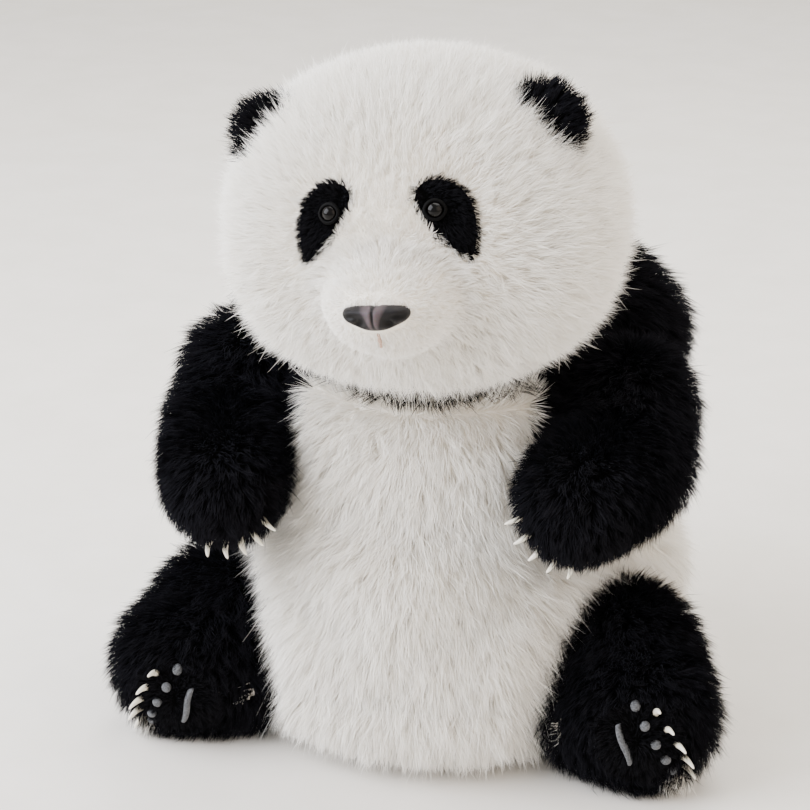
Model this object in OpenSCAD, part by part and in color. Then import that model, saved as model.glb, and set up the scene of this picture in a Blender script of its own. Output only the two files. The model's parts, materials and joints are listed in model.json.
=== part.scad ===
// Plush panda, sitting. Five limbs (head, arms, legs) turn on hidden disc joints.
// +Z up, the face looks along -Y, +X is the panda's own left.
// Solids stand for the sewn cloth; the pile stands a little proud of them.

/* [Head] */
// Half width of the head
head_a = 97; // [90:1:102]
// Half depth of the head
head_b = 96; // [88:1:100]
// Half height of the head
head_c = 84; // [78:1:88]
// Height of the centre of the head
head_z = 294; // [290:1:298]
// Distance of the head's centre in front of the middle
head_fwd = 28; // [24:1:32]
// Upward tilt of the face in degrees
head_pitch = 10; // [0:1:12]
// Sideways tilt of the head in degrees
head_roll = 6; // [0:1:8]
// Radius of an ear
ear_r = 22; // [18:1:25]
// Radius of an eye's dome
eye_r = 5; // [4:0.5:6]
// Half distance between the eyes
eye_x = 26; // [22:1:32]
// Half width of the nose
nose_w = 18; // [14:1:20]

/* [Torso] */
// Half width of the hips
hip_a = 134; // [126:1:140]
// Half depth of the hips
hip_b = 112; // [104:1:118]
// Half width of the chest
chest_a = 100; // [94:1:104]
// Half depth of the chest
chest_b = 94; // [88:1:98]
// Half width of the black shoulders behind the head
hump_a = 125; // [110:1:128]
// Height of the seam between the white body and the black yoke
yoke_z = 158; // [150:1:164]
// Height of the bib's top edge in front
collar_z = 206; // [200:1:207]
// Half width of the bib
bib_w = 58; // [50:1:64]

/* [Arms] */
// Outward turn of the shoulder joint's axis in degrees
arm_splay = 22; // [18:1:26]
// Distance of the shoulder face from the middle
arm_face = 75; // [73:1:78]
// How far the left arm is raised at rest in degrees
left_raise = 11; // [4:1:14]
// How far the right arm is raised at rest in degrees
right_raise = 4; // [0:1:8]
// Height of the shoulder joint
shoulder_z = 183; // [181:1:184]
// Radius of the upper arm
arm_r = 35; // [30:1:36]
// Radius of the paw
paw_r = 32; // [28:1:33]

/* [Legs] */
// Outward turn of the hip joint's axis in degrees
leg_splay = 30; // [27:1:33]
// Distance of the hip face from the middle
leg_face = 94; // [92:1:96]
// Height of the hip joint
hip_z = 54; // [52:1:56]
// Radius of the knee
knee_r = 40; // [36:1:41]
// Radius of the foot
foot_r = 39; // [36:1:39]

/* [Cloth and hardware] */
// Thickness of the sewn cloth
cover_t = 3; // [2:0.5:4]
// Radius of a hip joint's disc
hip_disc_r = 21; // [16:1:22]
// Radius of a shoulder joint's disc
shoulder_disc_r = 13; // [10:1:13]
// Radius of a joint's stem
stem_r = 4; // [3:0.5:5]
// Radial running clearance of a stem in its washer
run = 0.05; // [0.02:0.01:0.1]
// Gap between two limbs' cloth at a joint
joint_gap = 0.4; // [0.4:0.1:1]

/* [Hidden] */
$fn = 72;
half_gap = joint_gap / 2;
seam = 0.15;                 // gap between a piece and the pocket that holds it
disc_t = 3;                  // thickness of a joint disc or washer
ring_r = 9;
ring_t = 4;
lining = cover_t + seam;
neck_drop = 76;              // neck face below the centre of the head
neck_z = head_z - neck_drop;
neck_r = 37;
neck_disc_r = 27;
env_r = head_a + 10;         // space that the turning head sweeps
env_z = head_c + 6;
claw_len = 10.5;
claw_r = 2.2;
big = 600;
white = [0.95, 0.93, 0.88];
black = [0.05, 0.05, 0.06];
ivory = [0.88, 0.85, 0.76];
grey = [0.36, 0.37, 0.39];
plastic = [0.90, 0.90, 0.88];
fill = [0.97, 0.97, 0.97];

// centres of the balls that make an arm, in the shoulder frame
arm_top = [25, 6, 7];
arm_elbow = [36.5, -13.5, -18];
arm_paw = [47, -74, -27];
shoulder_y = 26;             // along the shoulder face, behind its middle
// angle below level of each paw's innermost claw, and the step to the next claw
left_first = 14;
right_first = 27;
claw_step = 18;
// how much a claw leans inward, forward and down
claw_lean = [0.88, 0.40, 0.92];
// the arm swings in a pocket between these heights and in front of this plane
arm_pocket_z = 119;
arm_pocket_top = shoulder_z + arm_top[2] + arm_r + 1.5;
arm_pocket_y = shoulder_y + norm([arm_top[1], arm_top[2]]) + arm_r + 2;
// centres and half sizes of the round masses that make the torso
hips_c = [0, 8, 68];
hips_h = 76;
base_c = [0, 0, 40];
base_s = [112, 106, 52];
chest_c = [0, 8, 150];
chest_h = 88;
belly_c = [0, -4, 105];
belly_s = [80, 98, 75];
hump_c = [0, 58, 208];
hump_s = [hump_a, 60, 64];
// centres of the balls that make a leg, in the hip frame
leg_knee = [22, -8, 1.5];
leg_foot = [49, -27, foot_r - hip_z];
leg_heel = [20.5, -34, -24.5];
heel_r = 28;
hip_y = 31.5;                // along the hip face, behind its middle

// ---- frames -------------------------------------------------------------
module right_side() mirror([1, 0, 0]) children();
module skull_frame() translate([0, -head_fwd, head_z]) children();
// the face is tilted on the skull: features are placed in this frame
module head_frame() skull_frame() rotate([-head_pitch, -head_roll, 0]) children();
function turn_x(v, a) = [v[0], v[1] * cos(a) - v[2] * sin(a), v[1] * sin(a) + v[2] * cos(a)];
function turn_y(v, a) = [v[0] * cos(a) + v[2] * sin(a), v[1], v[2] * cos(a) - v[0] * sin(a)];
function tilted(v) = turn_y(turn_x(v, -head_pitch), -head_roll);
// the skull's surface in a direction from its centre, and the outward normal there
function on_skull(v) = v / norm([v[0] / head_a, v[1] / head_b, v[2] / head_c]);
function skull_n(p) =
    let (v = [p[0] / pow(head_a, 2), p[1] / pow(head_b, 2), p[2] / pow(head_c, 2)]) v / norm(v);
// X points out of the shoulder, Z up; children are for the left side
module shoulder_frame() rotate([0, 0, -arm_splay]) translate([arm_face, shoulder_y, shoulder_z]) children();
module hip_frame() rotate([0, 0, -leg_splay]) translate([leg_face, hip_y, hip_z]) children();
module neck_frame() translate([0, -head_fwd, neck_z]) rotate([0, -90, 0]) children();

// unit vector from azimuth (0 = forward, + = outward) and elevation
function aim(az, el) = [sin(az) * cos(el), -cos(az) * cos(el), sin(el)];
module along(d) rotate([0, acos(d[2]), atan2(d[1], d[0])]) children();

// ---- plain bodies ---------------------------------------------------------
module ellipsoid(c, r) translate(c) scale([r[0] / r[2], r[1] / r[2], 1]) sphere(r = r[2]);
module ball(c, r) translate(c) sphere(r = r);
// cone between two balls, kept just inside both so that the surfaces cross cleanly
module web(p, rp, q, rq) {
    d = q - p;
    len = norm(d);
    lean = (rp - rq) / len;
    shrink = 0.97 * sqrt(1 - lean * lean);
    translate(p) along(d / len) translate([0, 0, rp * lean])
        cylinder(r1 = rp * shrink, r2 = rq * shrink, h = len + (rq - rp) * lean);
}

// ---- soft shapes; t is how far inside the cloth's outer face they lie --------
module skull(t) ellipsoid([0, 0, 0], [head_a - t, head_b - t, head_c - t]);
module head_solid(t) difference() {
    skull_frame() skull(t);
    translate([0, -head_fwd, neck_z + half_gap + t - big / 2]) cube(big, center = true);
}
module torso_solid(t) {
    inset = [t, t, t];
    difference() {
        union() {
            difference() {
                union() {
                    ellipsoid(hips_c, [hip_a, hip_b, hips_h] - inset);
                    ellipsoid(base_c, base_s - inset);
                }
                both_sides() translate([arm_face - half_gap - t, arm_pocket_y + t - big, arm_pocket_z - t])
                    cube(big);
            }
            difference() {
                union() {
                    ellipsoid(chest_c, [chest_a, chest_b, chest_h] - inset);
                    ellipsoid(belly_c, belly_s - inset);
                }
                both_sides() translate([arm_face - half_gap - t + big / 2, 0, 0]) cube(big, center = true);
                head_room(t);
            }
            difference() {
                ellipsoid(hump_c, hump_s - inset);
                both_sides()
                    translate([arm_face - half_gap - t, arm_pocket_y + t - big, arm_pocket_top + t - big])
                        cube(big);
                head_room(t);
            }
            translate([0, -head_fwd, chest_c[2]])
                cylinder(r = neck_r - t, h = neck_z - half_gap - t - chest_c[2]);
        }
        for (m = [0, 1]) mirror([m, 0, 0]) rotate([0, 0, -leg_splay])
            translate([leg_face - half_gap - t + big / 2, 0, 0]) cube(big, center = true);
        translate([0, 0, t - big / 2]) cube(big, center = true);
    }
}
module both_sides() for (m = [0, 1]) mirror([m, 0, 0]) rotate([0, 0, -arm_splay]) children();
module head_room(t) ellipsoid([0, -head_fwd, head_z], [env_r + t, env_r + t, env_z + t]);
module arm_solid(t, raise) shoulder_frame() difference() {
    rotate([-raise, 0, 0]) {
        ball(arm_top, arm_r - t);
        ball(arm_elbow, arm_r - t);
        ball(arm_paw, paw_r - t);
        web(arm_top, arm_r - t, arm_elbow, arm_r - t);
        web(arm_elbow, arm_r - t, arm_paw, paw_r - t);
    }
    translate([half_gap + t - big / 2, 0, 0]) cube(big, center = true);
}
module leg_solid(t) difference() {
    hip_frame() difference() {
        union() {
            ball(leg_knee, knee_r - t);
            ball(leg_foot, foot_r - t);
            ball(leg_heel, heel_r - t);
            web(leg_knee, knee_r - t, leg_foot, foot_r - t);
            web(leg_foot, foot_r - t, leg_heel, heel_r - t);
        }
        translate([half_gap + t - big / 2, 0, 0]) cube(big, center = true);
    }
    translate([0, 0, t - big / 2]) cube(big, center = true);
}
// splits the torso's cloth: black above, but the white bib climbs the chest
module yoke_region() difference() {
    translate([-big / 2, -big / 2, yoke_z]) cube(big);
    translate([-bib_w, -big - 35, 0]) cube([2 * bib_w, big, collar_z]);
}

// ---- disc joint; X points from the torso into the limb -----------------------
module disc_and_stem(r) rotate([0, 90, 0]) {
    translate([0, 0, half_gap + lining]) cylinder(r = r, h = disc_t);
    translate([0, 0, -stem_depth()]) cylinder(r = stem_r, h = stem_depth() + half_gap + lining + 0.5);
}
function washer_x() = half_gap + lining;
function ring_x() = washer_x() + disc_t + 0.4;
function stem_depth() = ring_x() + ring_t + 1;
module washer(r) rotate([0, -90, 0]) translate([0, 0, washer_x()]) difference() {
    cylinder(r = r, h = disc_t);
    translate([0, 0, -1]) cylinder(r = stem_r + run, h = disc_t + 2);
}
module lock_ring() rotate([0, -90, 0]) translate([0, 0, ring_x()]) difference() {
    cylinder(r = ring_r, h = ring_t);
    translate([0, 0, -1]) cylinder(r = stem_r + 0.01, h = ring_t + 2);
}
// holes and pockets that the joint needs in the limb and in the torso
module limb_room(r) rotate([0, 90, 0]) {
    translate([0, 0, -1]) cylinder(r = stem_r + 0.1, h = 1 + cover_t + 1);
    translate([0, 0, half_gap + cover_t - 0.01]) cylinder(r = r + seam, h = disc_t + 2 * seam + 0.01);
}
module torso_room(r) rotate([0, -90, 0]) {
    translate([0, 0, -1]) cylinder(r = stem_r + 0.8, h = 1 + cover_t + 2);
    translate([0, 0, half_gap + cover_t - 0.01]) cylinder(r = r + seam, h = stem_depth() - cover_t + 1);
}
module all_torso_rooms() {
    neck_frame() torso_room(neck_disc_r);
    for (m = [0, 1]) mirror([m, 0, 0]) {
        shoulder_frame() torso_room(shoulder_disc_r);
        hip_frame() torso_room(hip_disc_r);
    }
}
module all_torso_holes() {
    neck_frame() torso_hole();
    for (m = [0, 1]) mirror([m, 0, 0]) {
        shoulder_frame() torso_hole();
        hip_frame() torso_hole();
    }
}
module torso_hole() rotate([0, -90, 0]) translate([0, 0, -1])
    cylinder(r = stem_r + 0.8, h = 1 + cover_t + 2);
module limb_hole() rotate([0, 90, 0]) translate([0, 0, -1])
    cylinder(r = stem_r + 0.1, h = 1 + cover_t + 2);

// ---- torso ----------------------------------------------------------------
module torso_shell() difference() {
    torso_solid(0);
    torso_solid(cover_t);
    all_torso_holes();
}
module bag(g) translate([0, 10, cover_t + 0.4 - g]) rotate_extrude() union() {
    square([48, 26 + 2 * g]);
    translate([48, 13 + g]) circle(r = 13 + g, $fn = 48);
}
module bead_bag() color([0.93, 0.92, 0.88]) bag(0);
module body_cover() color(white) difference() {
    torso_shell();
    yoke_region();
}
module yoke_cover() color(black) intersection() {
    torso_shell();
    yoke_region();
}
module body_stuffing() color(fill) difference() {
    torso_solid(lining);
    bag(seam);
    all_torso_rooms();
}
tail_z = 44;
tail_c = [0, hips_c[1] + hip_b * sqrt(1 - pow((hips_c[2] - tail_z) / hips_h, 2)), tail_z];
// the tail's flat root lies on the hips' tangent plane
tail_n =
    let (v = [0, (tail_c[1] - hips_c[1]) / pow(hip_b, 2), (tail_z - hips_c[2]) / pow(hips_h, 2)]) v / norm(v);
module tail() color(white) difference() {
    ellipsoid(tail_c, [17, 14, 20]);
    translate(tail_c) along(tail_n) translate([0, 0, seam - big / 2]) cube(big, center = true);
}
module neck_washer() color(plastic) neck_frame() washer(neck_disc_r);
module shoulder_washer_left() color(plastic) shoulder_frame() washer(shoulder_disc_r);
module shoulder_washer_right() right_side() shoulder_washer_left();
module hip_washer_left() color(plastic) hip_frame() washer(hip_disc_r);
module hip_washer_right() right_side() hip_washer_left();

// ---- head -----------------------------------------------------------------
muzzle_c = [0, -88, -31];
muzzle_s = [34, 30, 25];
nose_c = [0, -114, -32];
eye_z = 14;
function eye_p(side) = on_skull(tilted([side * eye_x, -91, eye_z]));
module eye_frame(side) skull_frame() translate(eye_p(side)) along(skull_n(eye_p(side))) children();
patch_t = 2;
post_r = 1.8;
eye_washer_r = 8;
eye_washer_t = 2;
eye_washer_drop = 0.6;       // the round skull dips this much under a flat washer
module eye_hole() translate([0, 0, -8]) cylinder(r = post_r + 0.05, h = 20);
module eye_room() {
    translate([0, 0, -14]) cylinder(r = post_r + 0.05, h = 20);
    translate([0, 0, -lining - 0.01]) mirror([0, 0, 1])
        cylinder(r = eye_washer_r + seam, h = eye_washer_t + 2 * seam + eye_washer_drop);
}
module eye(side) color([0.03, 0.02, 0.02]) eye_frame(side) {
    translate([0, 0, patch_t + 0.8]) intersection() {
        sphere(r = eye_r);
        translate([0, 0, eye_r]) cube(2 * eye_r, center = true);
    }
    translate([0, 0, -8]) cylinder(r = post_r, h = 8 + patch_t + 1);
}
module eye_left() eye(1);
module eye_right() eye(-1);
module lid() translate([0, 0, patch_t + 0.9]) rotate_extrude() translate([eye_r + 1.3, 0]) circle(r = 1.2, $fn = 32);
module eyelid_left() color(black) eye_frame(1) lid();
module eyelid_right() color(black) eye_frame(-1) lid();
module eye_washer() translate([0, 0, -lining - seam - eye_washer_drop - eye_washer_t]) difference() {
    cylinder(r = eye_washer_r, h = eye_washer_t);
    translate([0, 0, -1]) cylinder(r = post_r + 0.02, h = 4);
}
module eye_washers() color(plastic) {
    eye_frame(1) eye_washer();
    eye_frame(-1) eye_washer();
}
// oval of short pile that droops outward from the eye
module eye_patch(side) color(black) difference() {
    intersection() {
        skull_frame() skull(-patch_t);
        head_frame() translate([side * (eye_x + 6), -20, eye_z - 5]) rotate([90, side * -24, 0])
            linear_extrude(height = 200) scale([0.6, 1]) circle(r = 21);
    }
    skull_frame() skull(-0.08);
    eye_frame(side) {
        translate([0, 0, -1]) cylinder(r = post_r + 0.05, h = 20);
        translate([0, 0, patch_t - 0.4]) cylinder(r = eye_r + 2.7, h = 20);
    }
}
module eye_patch_left() eye_patch(1);
module eye_patch_right() eye_patch(-1);

ear_c = [69, -34, 48];
ear_t = 11;
module ear(side) color(black) difference() {
    head_frame() translate([side * ear_c[0], ear_c[1], ear_c[2]]) scale([ear_r / ear_t, 1, ear_r / ear_t])
        sphere(r = ear_t);
    skull_frame() skull(-seam);
}
module ear_left() ear(1);
module ear_right() ear(-1);

nose_post = 16;
module nose_post_room() translate([nose_c[0], nose_c[1] + nose_post + 4, nose_c[2]]) rotate([90, 0, 0])
    cylinder(r = post_r + 0.05, h = nose_post + 8);
module nose_washer_at(g) translate([0, nose_c[1] + 17 + g, nose_c[2]]) rotate([90, 0, 0])
    cylinder(r = 9 + g, h = 2 + 2 * g);
module nose_body(g) {
    translate(nose_c) scale([(nose_w + g) / (9 + g), 1, 0.86]) sphere(r = 9 + g);
    translate(nose_c + [0, -1.5, -4]) sphere(r = 6 + g);
}
module nose() color([0.22, 0.20, 0.21]) head_frame() {
    nose_body(0);
    translate([0, nose_c[1] + nose_post + 2.6, nose_c[2]]) rotate([90, 0, 0]) cylinder(r = post_r, h = nose_post);
}
module nose_washer() color(plastic) head_frame() difference() {
    nose_washer_at(0);
    translate([0, nose_c[1] + 40, nose_c[2]]) rotate([90, 0, 0]) cylinder(r = post_r + 0.02, h = 60);
}
module muzzle() color(white) difference() {
    head_frame() difference() {
        ellipsoid(muzzle_c, muzzle_s);
        nose_body(0.1);
        nose_post_room();
        nose_washer_at(0.2);
        stitch_bar(0.1);
    }
    skull_frame() skull(-0.08);
}
module stitch_bar(g) translate([0, -111.8, -45]) rotate([28, 0, 0]) {
    translate([0, 0, -4]) cylinder(r = 1 + g, h = 8);
    translate([0, 0, -4]) sphere(r = 1 + g);
    translate([0, 0, 4]) sphere(r = 1 + g);
}
module mouth_stitch() color([0.72, 0.58, 0.52]) head_frame() difference() {
    stitch_bar(0);
    nose_body(0.15);
}
module head_cover() color(white) difference() {
    head_solid(0);
    head_solid(cover_t);
    neck_frame() limb_hole();
    eye_frame(1) eye_hole();
    eye_frame(-1) eye_hole();
}
module head_stuffing() color(fill) difference() {
    head_solid(lining);
    neck_frame() limb_room(neck_disc_r);
    eye_frame(1) eye_room();
    eye_frame(-1) eye_room();
}
module neck_disc() color(plastic) neck_frame() disc_and_stem(neck_disc_r);
module neck_lock_ring() color(plastic) neck_frame() lock_ring();

// ---- arms -----------------------------------------------------------------
module claw() {
    cylinder(r1 = claw_r, r2 = 1.5, h = claw_len * 0.6);
    translate([0, 0, claw_len * 0.6 - 0.01]) cylinder(r1 = 1.5, r2 = 0.6, h = claw_len * 0.4);
    translate([0, 0, claw_len]) sphere(r = 0.55);
}
module claw_socket() translate([0, 0, -0.05]) cylinder(r = claw_r + 0.05, h = claw_len);
// five claws along the lower, inner edge of the paw; drop is the angle below level
function claw_aim(drop) = [-claw_lean[0] * cos(drop), -claw_lean[1], -claw_lean[2] * sin(drop)];
module paw_claw_places(raise, first) for (i = [0:4])
    let (d = claw_aim(first + claw_step * i))
        shoulder_frame() translate(turn_x(arm_paw, -raise)) rotate([0, 0, arm_splay]) along(d / norm(d))
            translate([0, 0, paw_r - cover_t]) children();
module arm_cover(raise, first) color(black) difference() {
    arm_solid(0, raise);
    arm_solid(cover_t, raise);
    shoulder_frame() limb_hole();
    paw_claw_places(raise, first) claw_socket();
}
module arm_stuffing(raise) color(fill) difference() {
    arm_solid(lining, raise);
    shoulder_frame() limb_room(shoulder_disc_r);
}
module paw_claws(raise, first) color(ivory) paw_claw_places(raise, first) claw();
module arm_cover_left() arm_cover(left_raise, left_first);
module arm_cover_right() right_side() arm_cover(right_raise, right_first);
module arm_stuffing_left() arm_stuffing(left_raise);
module arm_stuffing_right() right_side() arm_stuffing(right_raise);
module paw_claws_left() paw_claws(left_raise, left_first);
module paw_claws_right() right_side() paw_claws(right_raise, right_first);
module shoulder_disc_left() color(plastic) shoulder_frame() disc_and_stem(shoulder_disc_r);
module shoulder_disc_right() right_side() shoulder_disc_left();
module shoulder_ring_left() color(plastic) shoulder_frame() lock_ring();
module shoulder_ring_right() right_side() shoulder_ring_left();

// ---- legs -----------------------------------------------------------------
module foot_frame() hip_frame() translate(leg_foot) rotate([0, 0, leg_splay]) children();
// the toes stand one above the other, so the sole looks forward
function toe_az(i) = 11 + 8.5 * i;
function toe_el(i) = 16 - 14.5 * i;
// the left foot's toes are turned further out and up than the right foot's
left_turn = [10, 12];
right_turn = [0, 0];
module foot_claw_places(turn) for (i = [0:4]) foot_frame() along(aim(toe_az(i) + turn[0], toe_el(i) + turn[1]))
    translate([0, 0, foot_r - cover_t]) children();
module leg_cover(turn) color(black) difference() {
    leg_solid(0);
    leg_solid(cover_t);
    hip_frame() limb_hole();
    foot_claw_places(turn) claw_socket();
}
module leg_cover_left() leg_cover(left_turn);
module leg_cover_right() right_side() leg_cover(right_turn);
module leg_stuffing_left() color(fill) difference() {
    leg_solid(lining);
    hip_frame() limb_room(hip_disc_r);
}
module leg_stuffing_right() right_side() leg_stuffing_left();
module foot_claws(turn) color(ivory) foot_claw_places(turn) claw();
module foot_claws_left() foot_claws(left_turn);
module foot_claws_right() right_side() foot_claws(right_turn);
// suede pads are flat discs that just touch the round sole
pad_lift = 0.05;
pad_t = 1.4;
// a thin patch that follows a ball of radius r
module cap(r, t) intersection() {
    difference() {
        sphere(r = r + t);
        sphere(r = r + 0.05);
    }
    children();
}
module toe_pads(turn) color(grey) for (i = [0:4]) foot_frame()
    along(aim(toe_az(i) - 19 + turn[0], toe_el(i) + 3 + turn[1])) translate([0, 0, foot_r + pad_lift])
        cylinder(r = 3.6, h = pad_t);
module toe_pads_left() toe_pads(left_turn);
module toe_pads_right() right_side() toe_pads(right_turn);
module sole_pad(turn) color(grey) foot_frame() for (i = [0:5])
    along(aim(-21 + 2.4 * i + turn[0], 8 - 8 * i + turn[1])) translate([0, 0, foot_r + pad_lift])
        cylinder(r = 3.6 + 0.5 * (i % 2), h = pad_t);
module sole_pad_left() sole_pad(left_turn);
module sole_pad_right() right_side() sole_pad(right_turn);
tuft_t = 1.4;
module foot_tufts(turn) color(white) difference() {
    union() {
        foot_frame() cap(foot_r, tuft_t) along(aim(56, -50)) cylinder(r = 7, h = foot_r + 5);
        hip_frame() translate(leg_heel) rotate([0, 0, leg_splay]) cap(heel_r, tuft_t)
            along(aim(-22, 12)) cylinder(r = 6, h = heel_r + 5);
    }
    leg_solid(-0.05);
    foot_claw_places(turn) claw_socket();
}
module foot_tufts_left() foot_tufts(left_turn);
module foot_tufts_right() right_side() foot_tufts(right_turn);
module hip_disc_left() color(plastic) hip_frame() disc_and_stem(hip_disc_r);
module hip_disc_right() right_side() hip_disc_left();
module hip_ring_left() color(plastic) hip_frame() lock_ring();
module hip_ring_right() right_side() hip_ring_left();

body_cover();
yoke_cover();
body_stuffing();
bead_bag();
tail();
neck_washer();
shoulder_washer_left();
shoulder_washer_right();
hip_washer_left();
hip_washer_right();
head_cover();
head_stuffing();
muzzle();
nose();
nose_washer();
mouth_stitch();
eye_left();
eye_right();
eyelid_left();
eyelid_right();
eye_washers();
eye_patch_left();
eye_patch_right();
ear_left();
ear_right();
neck_disc();
neck_lock_ring();
arm_cover_left();
arm_cover_right();
arm_stuffing_left();
arm_stuffing_right();
paw_claws_left();
paw_claws_right();
shoulder_disc_left();
shoulder_disc_right();
shoulder_ring_left();
shoulder_ring_right();
leg_cover_left();
leg_cover_right();
leg_stuffing_left();
leg_stuffing_right();
foot_claws_left();
foot_claws_right();
toe_pads_left();
toe_pads_right();
sole_pad_left();
sole_pad_right();
foot_tufts_left();
foot_tufts_right();
hip_disc_left();
hip_disc_right();
hip_ring_left();
hip_ring_right();
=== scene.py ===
"""Plush panda cub: skins, pile, eyes, nose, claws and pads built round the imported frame, in metres."""

import sys

import json
import logging
import math
from dataclasses import dataclass, field
from enum import Enum
from typing import Callable

import bmesh
import bpy
import numpy as np
from mathutils import Matrix, Vector
from mathutils.bvhtree import BVHTree
from mathutils.kdtree import KDTree


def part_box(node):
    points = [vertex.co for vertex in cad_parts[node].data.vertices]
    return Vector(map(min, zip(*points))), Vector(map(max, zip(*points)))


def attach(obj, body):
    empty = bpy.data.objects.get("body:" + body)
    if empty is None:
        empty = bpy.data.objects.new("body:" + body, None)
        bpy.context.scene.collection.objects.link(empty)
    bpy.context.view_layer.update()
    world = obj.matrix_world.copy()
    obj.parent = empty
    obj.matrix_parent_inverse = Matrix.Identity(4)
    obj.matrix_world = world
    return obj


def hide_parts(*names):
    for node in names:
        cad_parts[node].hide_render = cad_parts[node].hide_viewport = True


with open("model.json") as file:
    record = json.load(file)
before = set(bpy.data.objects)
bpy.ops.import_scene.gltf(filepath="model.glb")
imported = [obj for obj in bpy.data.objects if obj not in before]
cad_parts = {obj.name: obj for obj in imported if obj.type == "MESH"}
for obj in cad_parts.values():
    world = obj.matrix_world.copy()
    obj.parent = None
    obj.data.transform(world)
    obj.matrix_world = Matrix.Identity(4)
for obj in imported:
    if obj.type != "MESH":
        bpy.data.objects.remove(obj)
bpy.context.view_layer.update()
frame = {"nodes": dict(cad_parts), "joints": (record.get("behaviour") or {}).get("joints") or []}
LOG = logging.getLogger("panda")
MM = 0.001
MOST_FACES = 190000  # triangles of pile in one piece
FLOOR_CLEAR = 0.5 * MM  # the lowest that a strand lies

Array = np.ndarray
Groom = Callable[[Array, Array], tuple[Array, Array, Array]]


class Side(Enum):
    """Which of a pair a piece is; the value is the sign of its X."""

    LEFT = 1
    RIGHT = -1

    @property
    def tag(self) -> str:
        """The ending that the frame's names use."""
        return self.name.lower()


# ---- colours and nodes ----------------------------------------------------------


def linear(hex_colour: str) -> tuple[float, float, float, float]:
    """Turns an sRGB hex colour to linear RGBA.

    Args:
        hex_colour: a colour such as "#F4F1EA".

    Returns:
        Linear red, green and blue, and an alpha of 1.
    """
    parts = [int(hex_colour[i : i + 2], 16) / 255 for i in (1, 3, 5)]
    red, green, blue = (c / 12.92 if c <= 0.04045 else ((c + 0.055) / 1.055) ** 2.4 for c in parts)
    return red, green, blue, 1.0


def add_node(tree: bpy.types.NodeTree, kind: str, settings: dict | None = None, links: dict | None = None):
    """Adds a shader node.

    Args:
        tree: the material's tree.
        kind: Blender's name for the node.
        settings: values by property name, or by input name or number.
        links: output sockets by input name or number.

    Returns:
        The node.
    """
    made = tree.nodes.new(kind)
    for key, value in (settings or {}).items():
        if isinstance(key, str) and hasattr(made, key):
            setattr(made, key, value)
        else:
            made.inputs[key].default_value = value
    for key, socket in (links or {}).items():
        tree.links.new(socket, made.inputs[key])
    return made


def per_metre(size_mm: float) -> float:
    """Scale of a pattern whose features are this many millimetres."""
    return 1000 / size_mm


# ---- finishes -------------------------------------------------------------------


def raise_grain(
    tree: bpy.types.NodeTree, shader: bpy.types.Node, grain: bpy.types.Node, relief: float, strength: float
) -> None:
    """Raises a surface by its grain, unless it has no relief.

    Args:
        tree: the material's node tree.
        shader: the shader that gets the raised surface.
        grain: the noise node that is the grain.
        relief: the grain's depth, in millimetres.
        strength: how strongly it shows, from 0 to 1.
    """
    if relief:
        settings = {"Strength": strength, "Distance": relief * MM}
        bump = add_node(tree, "ShaderNodeBump", settings, {"Height": grain.outputs["Fac"]})
        tree.links.new(bump.outputs["Normal"], shader.inputs["Normal"])


@dataclass(frozen=True)
class Finish:
    """What every finish has: a name, and a way to shade one material."""

    name: str

    def material(self) -> bpy.types.Material:
        """The finish's material, made the first time it is asked for."""
        made = bpy.data.materials.get(self.name)
        if made is None:
            made = bpy.data.materials.new(self.name)
            made.use_nodes = True
            self.shade(made.node_tree, made.node_tree.nodes["Principled BSDF"])
        return made

    def shade(self, tree: bpy.types.NodeTree, shader: bpy.types.Node) -> None:
        """Sets up the shader; each finish has its own."""
        raise NotImplementedError


@dataclass(frozen=True)
class Pile(Finish):
    """Brushed acrylic pile: fine soft fibres that scatter light at a glance, painted darker at the root as
    shade in the pile's depth and lighter towards the tip as painted light.
    """

    # root, middle and tip colours run from painted shade in the pile's depth to painted light at the tips
    root: str
    middle: str
    tip: str
    cast: str  # colour that some locks lean to
    cast_share: float
    lock_mm: float  # size of the patches that lean to it
    sheen: float
    sheen_tint: str
    roughness: float
    specular: float = 0.0

    def shade(self, tree: bpy.types.NodeTree, shader: bpy.types.Node) -> None:
        """Colours each fibre from its root to its tip, painted shade at the root and painted light at the
        tip, with a tone of its own.
        """
        along = add_node(tree, "ShaderNodeAttribute", {"attribute_name": "along"})
        tone = add_node(tree, "ShaderNodeAttribute", {"attribute_name": "tone"})
        # root to tip ramp: the root colour is painted shade deep in the pile, the tip colour is painted light
        # where the light reaches
        ramp = add_node(tree, "ShaderNodeValToRGB", links={"Fac": along.outputs["Fac"]})
        stops = ramp.color_ramp.elements
        stops[0].color, stops[1].color = linear(self.root), linear(self.tip)
        stops.new(0.45).color = linear(self.middle)
        place = add_node(tree, "ShaderNodeTexCoord")
        patches = add_node(
            tree,
            "ShaderNodeTexNoise",
            {"Scale": per_metre(self.lock_mm), "Detail": 2.0},
            {"Vector": place.outputs["Object"]},
        )
        share = add_node(
            tree,
            "ShaderNodeMath",
            {"operation": "MULTIPLY"},
            {0: tone.outputs["Fac"], 1: patches.outputs["Fac"]},
        )
        weight = add_node(
            tree, "ShaderNodeMath", {"operation": "MULTIPLY", 1: self.cast_share}, {0: share.outputs[0]}
        )
        mixed = add_node(
            tree,
            "ShaderNodeMix",
            {"data_type": "RGBA", 7: linear(self.cast)},
            {0: weight.outputs[0], 6: ramp.outputs["Color"]},
        )
        tree.links.new(mixed.outputs[2], shader.inputs["Base Color"])
        shader.inputs["Roughness"].default_value = self.roughness
        shader.inputs["Specular IOR Level"].default_value = self.specular
        shader.inputs["Sheen Weight"].default_value = self.sheen
        shader.inputs["Sheen Roughness"].default_value = 0.4
        shader.inputs["Sheen Tint"].default_value = linear(self.sheen_tint)


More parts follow.
